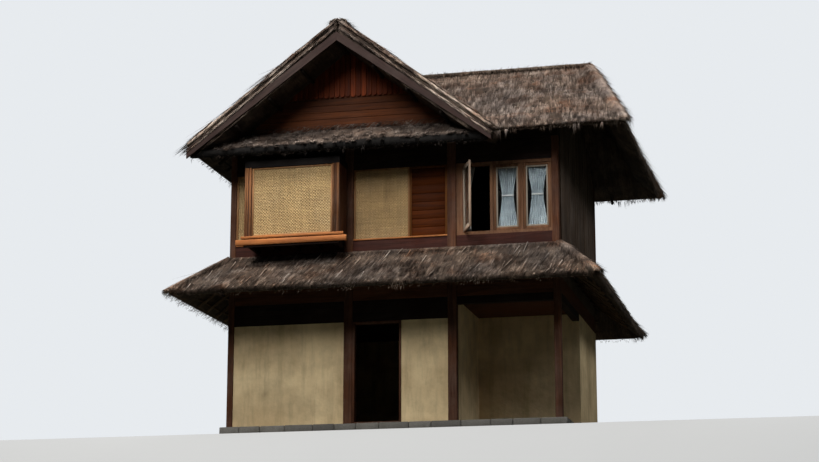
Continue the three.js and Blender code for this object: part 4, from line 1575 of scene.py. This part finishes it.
def sash(name, node, angle, timber):
    """Rails, beads and a pane for a sash swung outwards from its left edge by an angle."""
    along = Vector((math.cos(angle), -math.sin(angle), 0.0))
    face = Vector((math.sin(angle), math.cos(angle), 0.0))
    hinge = Vector((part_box(node)[0].x, SHUT_LOW.y, 0.0)) + face * SASH_THICK / 2
    proud = face * (PANE_THICK + BEAD_THICK + BEAD_ROOM) / 2

    def in_sash(across, z):
        return hinge + along * across + Vector((0.0, 0.0, z))

    def on_pane(across, z):
        return in_sash(across, z) - proud

    heights = (SHUT_LOW.z, SHUT_HIGH.z)
    rails = four_boards(in_sash, (0, SASH_WIDTH), heights, SASH_RAIL, SASH_THICK, face)
    add_boards(name + "_rails", rails, timber, "sash", (node,), edge=SASH_EDGE)

    inner = (SASH_RAIL, SASH_WIDTH - SASH_RAIL)
    heights = (SHUT_LOW.z + SASH_RAIL, SHUT_HIGH.z - SASH_RAIL)
    beads = four_boards(on_pane, inner, heights, BEAD_WIDTH, BEAD_THICK, face)
    add_boards(name + "_beads", beads, BEAD_PAINT, "sash", edge=BEAD_EDGE)

    inset = SASH_RAIL - PANE_BITE
    ends = [in_sash(SASH_WIDTH / 2, z) for z in (SHUT_LOW.z + inset, SHUT_HIGH.z - inset)]
    sheet = board(*ends, SASH_WIDTH - 2 * inset, PANE_THICK, face)
    pane = faces_outward(mesh_from(name + "_pane", *sheet))
    pane.shade_flat()
    add_piece(name + "_pane", pane, GLASS, "sash")


sash("sash_open", "front_sash_open", OPEN_ANGLE, PALE_SASH)
sash("sash_middle", "front_sash_middle", 0.0, SASH_TIMBER)
sash("sash_right", "front_sash_right", 0.0, SASH_TIMBER)

# %% [markdown]
# A gathered curtain has the same width of cloth in every row. Where it is drawn in, its folds
# grow deeper instead. So each row here solves for the fold depth that keeps its length, and
# the flat width given for the cloth is its true width.

# %% Gathered cloth
POINTS_PER_FOLD = 8
CLOTH_ROWS = 29
DEEPEST_FOLD = 0.08
SOLVE_STEPS = 24


def fold_row(x_low, x_high, flat_width, folds, phase):
    """Points (x, depth) of one row, with a depth that uses up the cloth's width."""
    share = np.linspace(0, 1, folds * POINTS_PER_FOLD + 1)
    xs = x_low + (x_high - x_low) * share
    wave = np.sin(2 * math.pi * folds * share + phase)
    shallow, deep = 0.0, DEEPEST_FOLD
    for _ in range(SOLVE_STEPS):
        depth = (shallow + deep) / 2
        length = np.hypot(np.diff(xs), np.diff(wave * depth)).sum()
        shallow, deep = (depth, deep) if length < flat_width else (shallow, depth)
    return xs, wave * depth


def gathered_mesh(name, edges, heights, y, flat_width, folds):
    """Rows of folds, between edges that are given for each share of the height."""
    z_low, z_high = heights
    points = []
    for row in range(CLOTH_ROWS):
        share = row / (CLOTH_ROWS - 1)
        phase = 0.5 * math.sin(3.1 * share + len(name))
        xs, depths = fold_row(*edges(share), flat_width, folds, phase)
        z = z_low + (z_high - z_low) * share
        points += [(x, y + depth, z) for x, depth in zip(xs, depths)]
    count = len(points) // CLOTH_ROWS
    faces = [
        (r * count + i, r * count + i + 1, (r + 1) * count + i + 1, (r + 1) * count + i)
        for r in range(CLOTH_ROWS - 1)
        for i in range(count - 1)
    ]
    mesh = mesh_from(name, points, faces)
    mesh.shade_smooth()
    return mesh


print("gathered cloth helpers ready")

# %% [markdown]
# A band of cloth ties each curtain at its waist. It is an oval ring, and its size comes from
# the width and the fold depth of the curtain's row there, so it fits close round the folds.

# %% Curtain helpers
CLOTH_THICK = 0.0012
BAND_SIDES = 40
BAND_HEIGHT = 0.034
BAND_THICK = 0.002
BAND_ROOM = 0.003
BAND_RINGS = ((BAND_THICK, -1), (BAND_THICK, 1), (0.0, 1), (0.0, -1))


def tie_band(name, x_low, x_high, y, z, depth, slot):
    angles = np.arange(BAND_SIDES) * 2 * math.pi / BAND_SIDES
    middle, half = (x_low + x_high) / 2, (x_high - x_low) / 2
    points = []
    for grow, rise in BAND_RINGS:
        xs = middle + (half + BAND_ROOM + grow) * np.cos(angles)
        ys = y + (depth + BAND_ROOM + grow) * np.sin(angles)
        zs = np.full(BAND_SIDES, z + rise * BAND_HEIGHT / 2)
        points.append(np.column_stack([xs, ys, zs]))
    faces = []
    for ring in range(len(BAND_RINGS)):
        here, after = ring * BAND_SIDES, (ring + 1) % len(BAND_RINGS) * BAND_SIDES
        for i in range(BAND_SIDES):
            j = (i + 1) % BAND_SIDES
            faces.append((here + i, here + j, after + j, after + i))
    mesh = faces_outward(mesh_from(name, np.concatenate(points), faces))
    mesh.shade_smooth()
    return add_piece(name, mesh, BAND_CLOTH, slot)


def curtain(name, node, edges, heights, y, flat_width, folds, tie_share, cloth, slot):
    z_low, z_high = heights
    mesh = gathered_mesh(name, edges, heights, y, flat_width, folds)
    piece = add_piece(name, mesh, cloth, slot, (node,))
    thickness = piece.modifiers.new("thickness", "SOLIDIFY")
    thickness.thickness = CLOTH_THICK
    thickness.offset = 0
    waist = edges(tie_share)
    depth = np.abs(fold_row(*waist, flat_width, folds, 0.0)[1]).max()
    band = tie_band(name + "_tie", *waist, y, z_low + (z_high - z_low) * tie_share, depth, slot)


print("curtain helpers ready")

# %% [markdown]
# The sheers are held by a rod at the head and one at the foot, and drawn in at mid height.
# The curtain in the open light hangs from its rod alone, and is tied back to one side.

# %% Sheers, the tied curtain and their rods
SHEERS = {"sheer_middle": "sheer_curtain_middle", "sheer_right": "sheer_curtain_right"}
SHEER_FLAT = 0.58
SHEER_FOLDS = 8
SHEER_WAIST = 0.22
SHEER_TAPER = 1.4
WAIST_SHARE = 0.53
ROD_ROOM = 0.016
ROD_RADIUS = 0.008
ROD_INSET = 0.012
ROD_PAST = 0.05
TIED_FLAT = 0.85
TIED_FOLDS = 8
TIED_WAIST = 0.07
TIED_HEM = 0.11
TIED_LEAN = 0.005
TIE_SHARE = 0.36
TIED_LOW, TIED_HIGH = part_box("tied_curtain")
TIED_ROD_RADIUS = 0.012
TIED_ROD_DROP = 0.02
TIED_ROD_X = (TIED_LOW.x - 0.06, 2.80)


def sheer(name, node):
    low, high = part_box(node)
    middle, full = (low.x + high.x) / 2, high.x - low.x

    def edges(share):
        reach = 1 - WAIST_SHARE if share > WAIST_SHARE else WAIST_SHARE
        from_waist = abs(share - WAIST_SHARE) / reach
        half = (SHEER_WAIST + (full - SHEER_WAIST) * from_waist ** SHEER_TAPER) / 2
        return middle - half, middle + half

    cloth = (SHEER_FLAT, SHEER_FOLDS, WAIST_SHARE, SHEER_CLOTH, "sheer")
    curtain(name, node, edges, (low.z, high.z), high.y + ROD_ROOM, *cloth)


def tied_edges(share):
    """Straight at the side where it is tied, and swept in towards its waist at the other."""
    left = TIED_LOW.x
    if share > TIE_SHARE:
        reach = ((share - TIE_SHARE) / (1 - TIE_SHARE)) ** 0.8
        return left, left + TIED_WAIST + (TIED_HIGH.x - left - TIED_WAIST) * reach
    reach = (1 - share / TIE_SHARE) ** 0.7
    return left + TIED_LEAN * reach, left + TIED_WAIST + TIED_HEM * reach


def level_rod(x_low, x_high, y, z, radius):
    return pole((x_low, y, z), (x_high, y, z), radius, radius)


rods = []
for low, high in map(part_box, SHEERS.values()):
    rod_x = (low.x - ROD_PAST, high.x + ROD_PAST)
    for z in (low.z + ROD_INSET, high.z - ROD_INSET):
        rods.append(level_rod(*rod_x, high.y + ROD_ROOM, z, ROD_RADIUS))
tied_y = (TIED_LOW.y + TIED_HIGH.y) / 2
rods.append(level_rod(*TIED_ROD_X, tied_y, TIED_HIGH.z - TIED_ROD_DROP, TIED_ROD_RADIUS))
add_poles("curtain_rods", rods, SASH_TIMBER, "sash")
for sheer_name, sheer_node in SHEERS.items():
    sheer(sheer_name, sheer_node)
tied_heights = (TIED_LOW.z, TIED_HIGH.z - 0.01)
tied_cloth = (TIED_FLAT, TIED_FOLDS, TIE_SHARE, CURTAIN_CLOTH, "curtain")
curtain("tied_back_curtain", "tied_curtain", tied_edges, tied_heights, tied_y, *tied_cloth)

# %% [markdown]
# The side and back walls of the upper floor are upright boards, weathered to grey-brown, and
# small differences in thickness let each edge show. Each board is cut to the roof above it,
# and the ones over the window are cut in two.

# %% Upper wall boards
WALL_BOARD = 0.125
WALL_BOARD_THICK = 0.016
WALL_BOARD_UNEVEN = 0.004
WALL_JOINT = 0.005
WALL_FOOT = 3.05
WINDOW_ROOM = 0.06
TOP_ROOM = 0.03


def wall_boards(name, along, low, high, face, outward, top_of, gap=None):
    """Upright boards on a wall that runs along x (0) or y (1), outside the plane face."""
    count = round((high - low) / WALL_BOARD)
    step = (high - low) / count
    chance = random.Random(name)
    direction = (0, outward, 0) if along == 0 else (outward, 0, 0)
    parts = []
    for i in range(count):
        middle = low + (i + 0.5) * step
        thick = WALL_BOARD_THICK + chance.uniform(-WALL_BOARD_UNEVEN, WALL_BOARD_UNEVEN)
        place = face + outward * (CLOSE_FIT + thick / 2)
        spans = [(WALL_FOOT, top_of(middle))]
        if gap and gap[0] - step / 2 < middle < gap[1] + step / 2:
            spans = [(WALL_FOOT, gap[2]), (gap[3], top_of(middle))]
        for span in spans:
            ends = [(middle, place, z) if along == 0 else (place, middle, z) for z in span]
            parts.append(board(*ends, step - WALL_JOINT, thick, direction))
    add_boards(name, parts, WALL_TIMBER, "grey_boards", edge=FINE_EDGE)


LEFT_WALL, RIGHT_WALL, BACK_WALL = (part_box(f"upper_{s}_wall") for s in ("left", "right", "back"))
MAIN_EAVE_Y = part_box("wing_roof_front")[0].y
WING_UNDER_RIDGE = RIGHT_WALL[1].z
WING_UNDER_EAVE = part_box("wing_roof_front")[0].z
WING_FALL = (WING_UNDER_RIDGE - WING_UNDER_EAVE) / -MAIN_EAVE_Y


def level_top(_):
    return LEFT_WALL[1].z


def sloping_top(y):
    return WING_UNDER_RIDGE - WING_FALL * abs(y) - TOP_ROOM


WINDOW_LOW, WINDOW_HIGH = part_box("back_louvre_shutters")
window_gap = (
    WINDOW_LOW.x - WINDOW_ROOM,
    WINDOW_HIGH.x + WINDOW_ROOM,
    WINDOW_LOW.z - WINDOW_ROOM,
    WINDOW_HIGH.z + WINDOW_ROOM,
)
left_wall = (LEFT_WALL[0].y, LEFT_WALL[1].y, LEFT_WALL[0].x)
right_wall = (RIGHT_WALL[0].y, RIGHT_WALL[1].y, RIGHT_WALL[1].x)
back_wall = (LEFT_WALL[0].x, RIGHT_WALL[1].x, BACK_WALL[1].y)
wall_boards("left_wall_boards", 1, *left_wall, -1, level_top)
wall_boards("right_wall_boards", 1, *right_wall, 1, sloping_top)
wall_boards("back_wall_boards", 0, *back_wall, 1, level_top, window_gap)

# %% [markdown]
# A lining covers the raw edge of each opening: four flat boards round the back window, and
# jambs, a head and a sill in the doorway. Flat boards also cover the corners at the back.

# %% Window and door trim
TRIM_WIDTH = 0.07
TRIM_THICK = 0.03
trim_y = (BACK_WALL[1].y + CLOSE_FIT, BACK_WALL[1].y + TRIM_THICK)
trim_low = (WINDOW_LOW.x - TRIM_WIDTH, WINDOW_LOW.z - TRIM_WIDTH)
trim_high = (WINDOW_HIGH.x + TRIM_WIDTH, WINDOW_HIGH.z + TRIM_WIDTH)
trim = wall_frame(trim_low, trim_high, *trim_y, TRIM_WIDTH)
add_boards("back_window_trim", trim, POST_TIMBER, "timber")

DOOR_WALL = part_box("ground_front_wall_right")
DOOR_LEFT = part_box("front_post_middle")[1].x
DOOR_RIGHT = DOOR_WALL[0].x
DOOR_TOP = DOOR_WALL[1].z
DOOR_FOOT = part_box("plinth")[1].z
DOOR_SILL = 0.03
LINING = 0.04
LINING_PROUD = 0.012
lining_y = (DOOR_WALL[0].y - LINING_PROUD, DOOR_WALL[1].y + LINING_PROUD)
inside = (DOOR_LEFT + LINING, DOOR_RIGHT - LINING)
lining = [
    upright(DOOR_LEFT + LINING / 2, DOOR_FOOT, DOOR_TOP, LINING, *lining_y),
    upright(DOOR_RIGHT - LINING / 2, DOOR_FOOT, DOOR_TOP, LINING, *lining_y),
    level(*inside, DOOR_TOP - LINING / 2, LINING, *lining_y),
    level(*inside, DOOR_FOOT + DOOR_SILL / 2, DOOR_SILL, *lining_y),
]
add_boards("door_lining", lining, POST_TIMBER, "timber")

CORNER_WIDTH = 0.1
CORNER_THICK = 0.022
CORNER_ROOM = 0.003
corner_top = LEFT_WALL[1].z - 0.02
corner_y = BACK_WALL[1].y + WALL_BOARD_THICK
corner_y = (corner_y + CORNER_ROOM, corner_y + CORNER_THICK)
corners = []
for side_x, sign in ((LEFT_WALL[0].x, -1), (RIGHT_WALL[1].x, 1)):
    outer_x = side_x + sign * (WALL_BOARD_THICK + CORNER_THICK)
    inner_x = side_x - sign * CORNER_WIDTH
    middle, width = (outer_x + inner_x) / 2, abs(outer_x - inner_x)
    corners.append(upright(middle, WALL_FOOT, corner_top, width, *corner_y))
add_boards("back_corner_boards", corners, POST_TIMBER, "timber")

# %% [markdown]
# The bay hangs on two orange rails that run past its posts. A dark board backs the groove
# between them, and behind it boards on joists make the floor.

# %% Bay rails and floor
BAY_LOW, BAY_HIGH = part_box("bay_floor")
BAY_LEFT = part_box("bay_side_left")[0].x
BAY_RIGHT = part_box("bay_side_right")[1].x
BAY_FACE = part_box("bay_side_left")[0].y
BAY_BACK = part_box("front_sill_wall")[0].y
TOP_RAIL = 0.05
TOP_RAIL_PAST = (0.05, 0.09)
LOW_RAIL = 0.105
RAIL_GROOVE = 0.014
RAIL_EDGE = 0.006
rail_y = (BAY_LOW.y, BAY_FACE - 0.001)
low_rail_z = BAY_HIGH.z - TOP_RAIL - RAIL_GROOVE - LOW_RAIL / 2
top_rail_x = (BAY_LEFT - TOP_RAIL_PAST[0], BAY_RIGHT + TOP_RAIL_PAST[1])
rails = [
    level(*top_rail_x, BAY_HIGH.z - TOP_RAIL / 2, TOP_RAIL, *rail_y),
    level(BAY_LOW.x, BAY_HIGH.x, low_rail_z, LOW_RAIL, *rail_y),
]
add_boards("bay_rails", rails, RAIL_TIMBER, "orange_timber", ("bay_floor",), edge=RAIL_EDGE)

BACKING_Z = BAY_HIGH.z - 0.11
BACKING_HEIGHT = 0.2
BACKING_Y = (BAY_FACE - 0.02, BAY_FACE - 0.002)
FLOOR_BOARD = 0.03
FLOOR_BOARDS = 4
FLOOR_JOINT = 0.004
JOIST_COUNT = 5
JOIST_DROP = 0.17
JOIST_WIDTH = 0.07
JOIST_INSET = 0.1
floor_step = (BAY_BACK - BAY_FACE) / FLOOR_BOARDS
joist_step = (BAY_RIGHT - BAY_LEFT - 2 * JOIST_INSET) / (JOIST_COUNT - 1)
joist_top = BAY_HIGH.z - FLOOR_BOARD - 0.001
joist_y = (BAY_FACE, BAY_BACK - 0.002)
under_bay = [level(BAY_LEFT, BAY_RIGHT, BACKING_Z, BACKING_HEIGHT, *BACKING_Y)]
for i in range(FLOOR_BOARDS):
    board_y = (BAY_FACE + i * floor_step, BAY_FACE + (i + 1) * floor_step - FLOOR_JOINT)
    floor_z = BAY_HIGH.z - FLOOR_BOARD / 2
    under_bay.append(level(BAY_LEFT, BAY_RIGHT, floor_z, FLOOR_BOARD, *board_y))
for i in range(JOIST_COUNT):
    x = BAY_LEFT + JOIST_INSET + i * joist_step
    under_bay.append(upright(x, joist_top - JOIST_DROP, joist_top, JOIST_WIDTH, *joist_y))
add_boards("bay_floor_joists", under_bay, BEAM_TIMBER, "dark_timber", edge=FINE_EDGE)

# %% [markdown]
# Narrow laths of different age cover the bay's posts, with a strong contrast from one to the
# next. A thin strip closes the foot of the matting on each side of the bay.

# %% Bay laths and foot strips
LATH_BROWN = (rgb(74, 42, 22), rgb(138, 92, 55))
LATH_TIMBER = timber_material("lath_timber", GRAIN_UP, LATH_BROWN, 0.3, 1.0)
LATH_THICK = 0.012
LATHS = (
    # place across the post, width
    (0.022, 0.032),
    (0.060, 0.026),
    (0.112, 0.040),
)
lath_z = (BAY_HIGH.z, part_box("bay_roof")[0].z)
lath_y = (BAY_FACE - LATH_THICK, BAY_FACE - CLOSE_FIT)
laths = [
    upright(post_x + offset, *lath_z, width, *lath_y)
    for post_x in (BAY_LEFT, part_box("bay_side_right")[0].x)
    for offset, width in LATHS
]
add_boards("bay_post_laths", laths, LATH_TIMBER, "orange_timber")

FOOT_STRIP = 0.028
MAT_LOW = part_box("front_matting_panel")[0]
strip = (MAT_LOW.z + FOOT_STRIP / 2, FOOT_STRIP, MAT_LOW.y - 0.045, MAT_LOW.y - 0.012)
foot_strips = [
    level(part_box("front_post_left")[1].x, BAY_LEFT, *strip),
    level(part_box("front_post_middle")[1].x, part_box("front_post_wing")[0].x, *strip),
]
add_boards("matting_foot_strips", foot_strips, RAIL_TIMBER, "orange_timber")

# %% [markdown]
# Under every eave the ends of the rafters show, with the level battens that the thatch was
# tied to. From below they are what makes a roof look built.

# %% Rafters and battens
RAFTER_RADIUS = 0.032
RAFTER_PITCH = 0.5
RAFTER_BEND = 0.008
BATTEN_RADIUS = 0.016
BATTEN_STEPS = 8
BATTEN_BEND = 0.006
POLE_DROP = 0.055
POLE_BROWN = (rgb(62, 46, 34), rgb(112, 88, 66))
# The poles under the upper roofs are a darker copy of the skirt's poles: painted shade.
EAVE_SHADE_BROWN = (rgb(22, 17, 14), rgb(46, 36, 30))
POLE_WOOD = timber_material("pole_wood", GRAIN_ACROSS, POLE_BROWN, 0.2, 0.5)
EAVE_SHADE_WOOD = timber_material("eave_shade_wood", GRAIN_ACROSS, EAVE_SHADE_BROWN, 0.05, 0.5)
pole_chance = random.Random(12)


def eave_poles(inner, outer, low, high, along, battens=3):
    """Rafters from an inner to an outer point (level place, z), and battens over them."""
    count = max(2, round((high - low) / RAFTER_PITCH))
    parts = []

    def place(share, spot, lower):
        across = inner[0] + (outer[0] - inner[0]) * share
        z = inner[1] + (outer[1] - inner[1]) * share - lower
        return (spot, across, z) if along == 0 else (across, spot, z)

    for i in range(count):
        spot = low + (i + 0.5) * (high - low) / count + pole_chance.uniform(-0.03, 0.03)
        thick = RAFTER_RADIUS * pole_chance.uniform(0.85, 1.15)
        ends = (place(0, spot, POLE_DROP), place(1, spot, POLE_DROP))
        parts.append(pole(*ends, thick, thick * 0.85, 3, RAFTER_BEND, pole_chance))
    for i in range(battens):
        share = (i + 0.6) / battens
        lift = POLE_DROP - RAFTER_RADIUS - BATTEN_RADIUS * 0.6
        ends = (place(share, low, lift), place(share, high, lift))
        shape = (BATTEN_RADIUS, BATTEN_RADIUS, BATTEN_STEPS, BATTEN_BEND)
        parts.append(pole(*ends, *shape, pole_chance))
    return parts


def under_slope(wall, wall_z, eave, eave_z, share_end):
    return (wall, wall_z), (wall + (eave - wall) * share_end, wall_z + (eave_z - wall_z) * share_end)


print("rafter helpers ready")

# %% [markdown]
# The skirt roof goes round all four sides. The upper roofs show their rafters under the left
# eave of the gable and both eaves of the wing, and purlins under the gable's overhang.

# %% Poles under each roof
SKIRT_FRONT, SKIRT_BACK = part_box("skirt_roof_front"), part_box("skirt_roof_back")
SKIRT_LEFT, SKIRT_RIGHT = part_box("skirt_roof_left"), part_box("skirt_roof_right")
SKIRT_UNDER_WALL = 3.13
SKIRT_SHARE = 0.82
front_y, back_y = SKIRT_FRONT[1].y, SKIRT_BACK[0].y
left_x, right_x = SKIRT_LEFT[1].x, SKIRT_RIGHT[0].x
rafters = []
for wall, eave, eave_z, low, high, along in (
    (front_y, SKIRT_FRONT[0].y, SKIRT_FRONT[0].z, left_x, right_x, 0),
    (back_y, SKIRT_BACK[1].y, SKIRT_FRONT[0].z, left_x, right_x, 0),
    (left_x, SKIRT_LEFT[0].x, SKIRT_LEFT[0].z, front_y, back_y, 1),
    (right_x, SKIRT_RIGHT[1].x, SKIRT_LEFT[0].z, front_y, back_y, 1),
):
    ends = under_slope(wall, SKIRT_UNDER_WALL, eave, eave_z, SKIRT_SHARE)
    rafters += eave_poles(*ends, low, high, along)
add_poles("skirt_rafters", rafters, POLE_WOOD, "timber")

GABLE_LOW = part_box("gable_roof_left")[0]
GABLE_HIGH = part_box("gable_roof_right")[1]
EAVE_SHORT = 0.3
WING_SHARE = 0.92
WING_RAFTERS_X = (1.85, 3.55)
gable_wall_z = GABLE_UNDER_APEX - GABLE_FALL * (GABLE_X - left_x)
gable_eave_z = gable_wall_z - GABLE_FALL * (left_x - GABLE_LOW.x - EAVE_SHORT)
ends = ((left_x, gable_wall_z), (GABLE_LOW.x + EAVE_SHORT, gable_eave_z))
rafters = eave_poles(*ends, GABLE_LOW.y + 0.2, GABLE_HIGH.y - 0.2, 1, 2)
wing_wall_z = WING_UNDER_RIDGE - WING_FALL * -front_y
for wall, eave in ((front_y, MAIN_EAVE_Y), (back_y, -MAIN_EAVE_Y)):
    ends = under_slope(wall, wing_wall_z, eave, WING_UNDER_EAVE, WING_SHARE)
    rafters += eave_poles(*ends, *WING_RAFTERS_X, 0, 2)
add_poles("eave_rafters", rafters, EAVE_SHADE_WOOD, "timber")

PURLIN_RADIUS = 0.035
PURLIN_DROP = 0.03
PURLIN_SHORT = 0.03
PURLIN_SHARES = (0.0, -0.3, 0.3, -0.58, 0.58, -0.86, 0.86)
purlins = []
for share in PURLIN_SHARES:
    x = GABLE_X + share * GABLE_HALF
    z = GABLE_UNDER_APEX - GABLE_FALL * abs(share) * GABLE_HALF - PURLIN_DROP
    for wall, verge in (
        (FRONT_FACE, GABLE_LOW.y + PURLIN_SHORT),
        (BACK_FACE, GABLE_HIGH.y - PURLIN_SHORT),
    ):
        purlins.append(pole((x, wall, z), (x, verge, z), PURLIN_RADIUS, PURLIN_RADIUS * 0.95, 2))
add_poles("verge_purlins", purlins, EAVE_SHADE_WOOD, "timber")

# %% [markdown]
# A thatched ridge is closed with a roll of straw laid along it. The roll is a lumpy tube
# dressed with straws: on a ridge they hang down both sides, and on a sloping edge they lie
# along the roll.

# %% Roll helpers
ROLL_SIDES = 12
ROLL_STEP = 0.09
ROLL_LUMPS = 0.2
ROLL_STRAY = 0.08
ROLL_PER_METRE = 570
ROLL_STRAW_WIDTH = (0.008, 0.016)
ROLL_END = 0.01


def roll(start, end, width, height, shift):
    run, side, up = axes(start, end)
    length = np.linalg.norm(end - start)
    steps = max(4, round(length / ROLL_STEP))
    angles = np.arange(ROLL_SIDES) * 2 * math.pi / ROLL_SIDES
    points = []
    for step in range(steps + 1):
        share = step / steps
        close = min(1.0, 0.55 + 3.0 * min(share, 1 - share) * length)
        middle = start + (end - start) * share
        for angle in angles:
            lump = noise.noise((step * 0.45, angle * 0.9, shift))
            reach = side * math.cos(angle) * width / 2 + up * math.sin(angle) * height / 2
            points.append(middle + reach * (1 + ROLL_LUMPS * lump) * close)
    points += [start - run * ROLL_END, end + run * ROLL_END]
    return np.array(points), tube_faces(steps, ROLL_SIDES)


def off_surface(vectors, outward, share=1.0):
    """Vectors with a share of what points out of the surface taken away."""
    return vectors - outward * (vectors * outward).sum(axis=1)[:, None] * share


def roll_straws(start, end, width, height, length, along_share, chance):
    """Straws on a roll, from lying along it (1) to hanging down its sides (0)."""
    run, side, up = axes(start, end)
    total = np.linalg.norm(end - start)
    count = int(total * ROLL_PER_METRE)
    share = chance.random(count)
    angle = chance.uniform(-0.15, math.pi + 0.15, count)
    sideways, upwards = np.cos(angle)[:, None] * side, np.sin(angle)[:, None] * up
    outward = sideways + upwards
    reach = sideways * width / 2 + upwards * height / 2
    roots = start + (end - start) * share[:, None] + reach
    hanging = np.sign(np.cos(angle))[:, None] * side - up * 0.8
    across = unit(off_surface(hanging, outward) + 1e-6)
    stray = ROLL_STRAY * (1 - 0.7 * along_share)
    way = run * along_share + across * (1 - along_share) + chance.normal(0, stray, (count, 3))
    way = unit(off_surface(unit(way), outward, 0.8))
    lengths = chance.uniform(*length, count)
    if along_share > 0.5:
        lengths = np.minimum(lengths, (1 - share) * total + 0.05)
    widths = chance.uniform(*ROLL_STRAW_WIDTH, count)
    return wedges(roots, way, outward, lengths, widths, chance.uniform(-0.006, 0.012, count))


def add_roll(name, start, end, width, height, along_share, length, material, seed):
    start, end = np.asarray(start, float), np.asarray(end, float)
    chance = np.random.default_rng(seed)
    parts = [roll(start, end, width, height, seed)]
    parts.append(roll_straws(start, end, width, height, length, along_share, chance))
    add_parts(name, parts, material)


print("roll helpers ready")

# %% [markdown]
# The wing's ridge runs into the gable's slope, below the gable's own ridge. Both rolls sink
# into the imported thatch, so that no gap shows under them.

# %% Ridge rolls
WING_RIDGE_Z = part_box("wing_roof_front")[1].z
HIP_TOP_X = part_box("wing_roof_hip")[0].x
APEX_Z = GABLE_HIGH.z
RIDGE_SINK = 0.03
RIDGE_SHAPE = (0.3, 0.09, 0.25, (0.12, 0.3))
RIDGE_STRAW = straw_material("ridge_straw", DARK_STRAW, DOWN_THE_FRONT, 9.0, 0.5)
wing_x = (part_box("wing_roof_front")[0].x + 0.1, HIP_TOP_X + 0.04)
gable_y = (GABLE_LOW.y + 0.02, GABLE_HIGH.y - 0.02)
wing_ridge = [(x, 0, WING_RIDGE_Z - RIDGE_SINK) for x in wing_x]
gable_ridge = [(GABLE_X, y, APEX_Z - RIDGE_SINK) for y in gable_y]
add_roll("wing_ridge_roll", *wing_ridge, *RIDGE_SHAPE, RIDGE_STRAW, 61)
add_roll("gable_ridge_roll", *gable_ridge, *RIDGE_SHAPE, RIDGE_STRAW, 62)

# %% [markdown]
# Each gable edge is finished with two rolls of straw along the slope, one on the thatch's top
# edge and a thinner one just above the barge board. A hip, where two slopes meet, gets a low
# roll too, so that its edge is round and soft.

# %% Verge and hip rolls
VERGE_ROLLS = {
    # drop below the apex, inset from the gable's end, width and height
    "edge": (0.06, 0.08, (0.2, 0.1)),
    "binding": (0.2, 0.03, (0.13, 0.08)),
}
VERGE_LAY = (0.93, (0.15, 0.5))
GABLE_RUN = GABLE_HIGH.x - GABLE_X
seed = 70
for end_name, end_y, inward in (("front", GABLE_LOW.y, 1), ("back", GABLE_HIGH.y, -1)):
    for sign, side_name in ((-1, "left"), (1, "right")):
        for kind, (drop, inset, size) in VERGE_ROLLS.items():
            y, top_z = end_y + inward * inset, APEX_Z - drop
            top = (GABLE_X + sign * 0.03, y, top_z)
            foot = (GABLE_X + sign * GABLE_RUN, y, top_z - GABLE_FALL * GABLE_RUN)
            name = f"{end_name}_verge_{kind}_{side_name}"
            add_roll(name, top, foot, *size, *VERGE_LAY, VERGE_STRAW, seed)
            seed += 1

WING_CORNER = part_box("wing_roof_hip")[1]
WING_NOSE_Z = 5.46
SKIRT_NOSE_Z = 2.62
HIP_LAY = (0.7, (0.25, 0.6))
hips = []
for sign in (-1, 1):
    eave_corner = (WING_CORNER.x, sign * WING_CORNER.y, WING_NOSE_Z)
    hips.append(((HIP_TOP_X, 0, WING_RIDGE_Z), eave_corner, (0.2, 0.1), WING_STRAW))
for x_wall, x_eave in ((left_x, SKIRT_LEFT[0].x), (right_x, SKIRT_RIGHT[1].x)):
    for y_wall, y_eave in ((front_y, SKIRT_FRONT[0].y), (back_y, SKIRT_BACK[1].y)):
        wall_corner = (x_wall, y_wall, SKIRT_FRONT[1].z)
        hips.append((wall_corner, (x_eave, y_eave, SKIRT_NOSE_Z), (0.17, 0.07), SKIRT_STRAW))
for number, (top, foot, size, straw) in enumerate(hips):
    add_roll(f"hip_roll_{number + 1}", top, foot, *size, *HIP_LAY, straw, 90 + number)

# %% [markdown]
# The plinth is a ring of squared stones round a filled middle. The stones differ in length,
# their edges are worn round, and thin open joints separate them.

# %% Plinth stones
STONE_DEPTH = 0.32
STONE_JOINT = 0.008
STONE_LENGTH = (0.38, 0.62)
STONE_LONGEST = 0.75
STONE_UNEVEN = 0.004
STONE_EDGE = 0.012
PLINTH_LOW, PLINTH_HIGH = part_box("plinth")


def stone_course(low, high, chance):
    """Cuts between low and high into stones of different lengths."""
    cuts = [low]
    while high - cuts[-1] > STONE_LONGEST:
        cuts.append(cuts[-1] + chance.uniform(*STONE_LENGTH))
    cuts.append(high)
    return [(a + STONE_JOINT / 2, b - STONE_JOINT / 2) for a, b in zip(cuts, cuts[1:])]


def plinth_stones():
    """Blocks along the front and back, down the sides, and in columns over the middle."""
    chance = random.Random(31)
    low, high = PLINTH_LOW, PLINTH_HIGH
    gap = STONE_DEPTH + STONE_JOINT
    blocks = []

    def lay(x_spans, y_spans):
        for xs in x_spans:
            for ys in y_spans:
                zs = (low.z, high.z - chance.uniform(0, STONE_UNEVEN))
                corners = [(x, y, z) for x in xs for y in ys for z in zs]
                blocks.append((np.array(corners), BOX_FACES))

    for span in ((low.y, low.y + STONE_DEPTH), (high.y - STONE_DEPTH, high.y)):
        lay(stone_course(low.x, high.x, chance), [span])
    for span in ((low.x, low.x + STONE_DEPTH), (high.x - STONE_DEPTH, high.x)):
        lay([span], stone_course(low.y + gap, high.y - gap, chance))
    for span in stone_course(low.x + gap, high.x - gap, chance):
        lay([span], stone_course(low.y + gap, high.y - gap, chance))
    return blocks


add_boards("plinth_stones", plinth_stones(), STONE, "stone", ("plinth",), edge=STONE_EDGE)
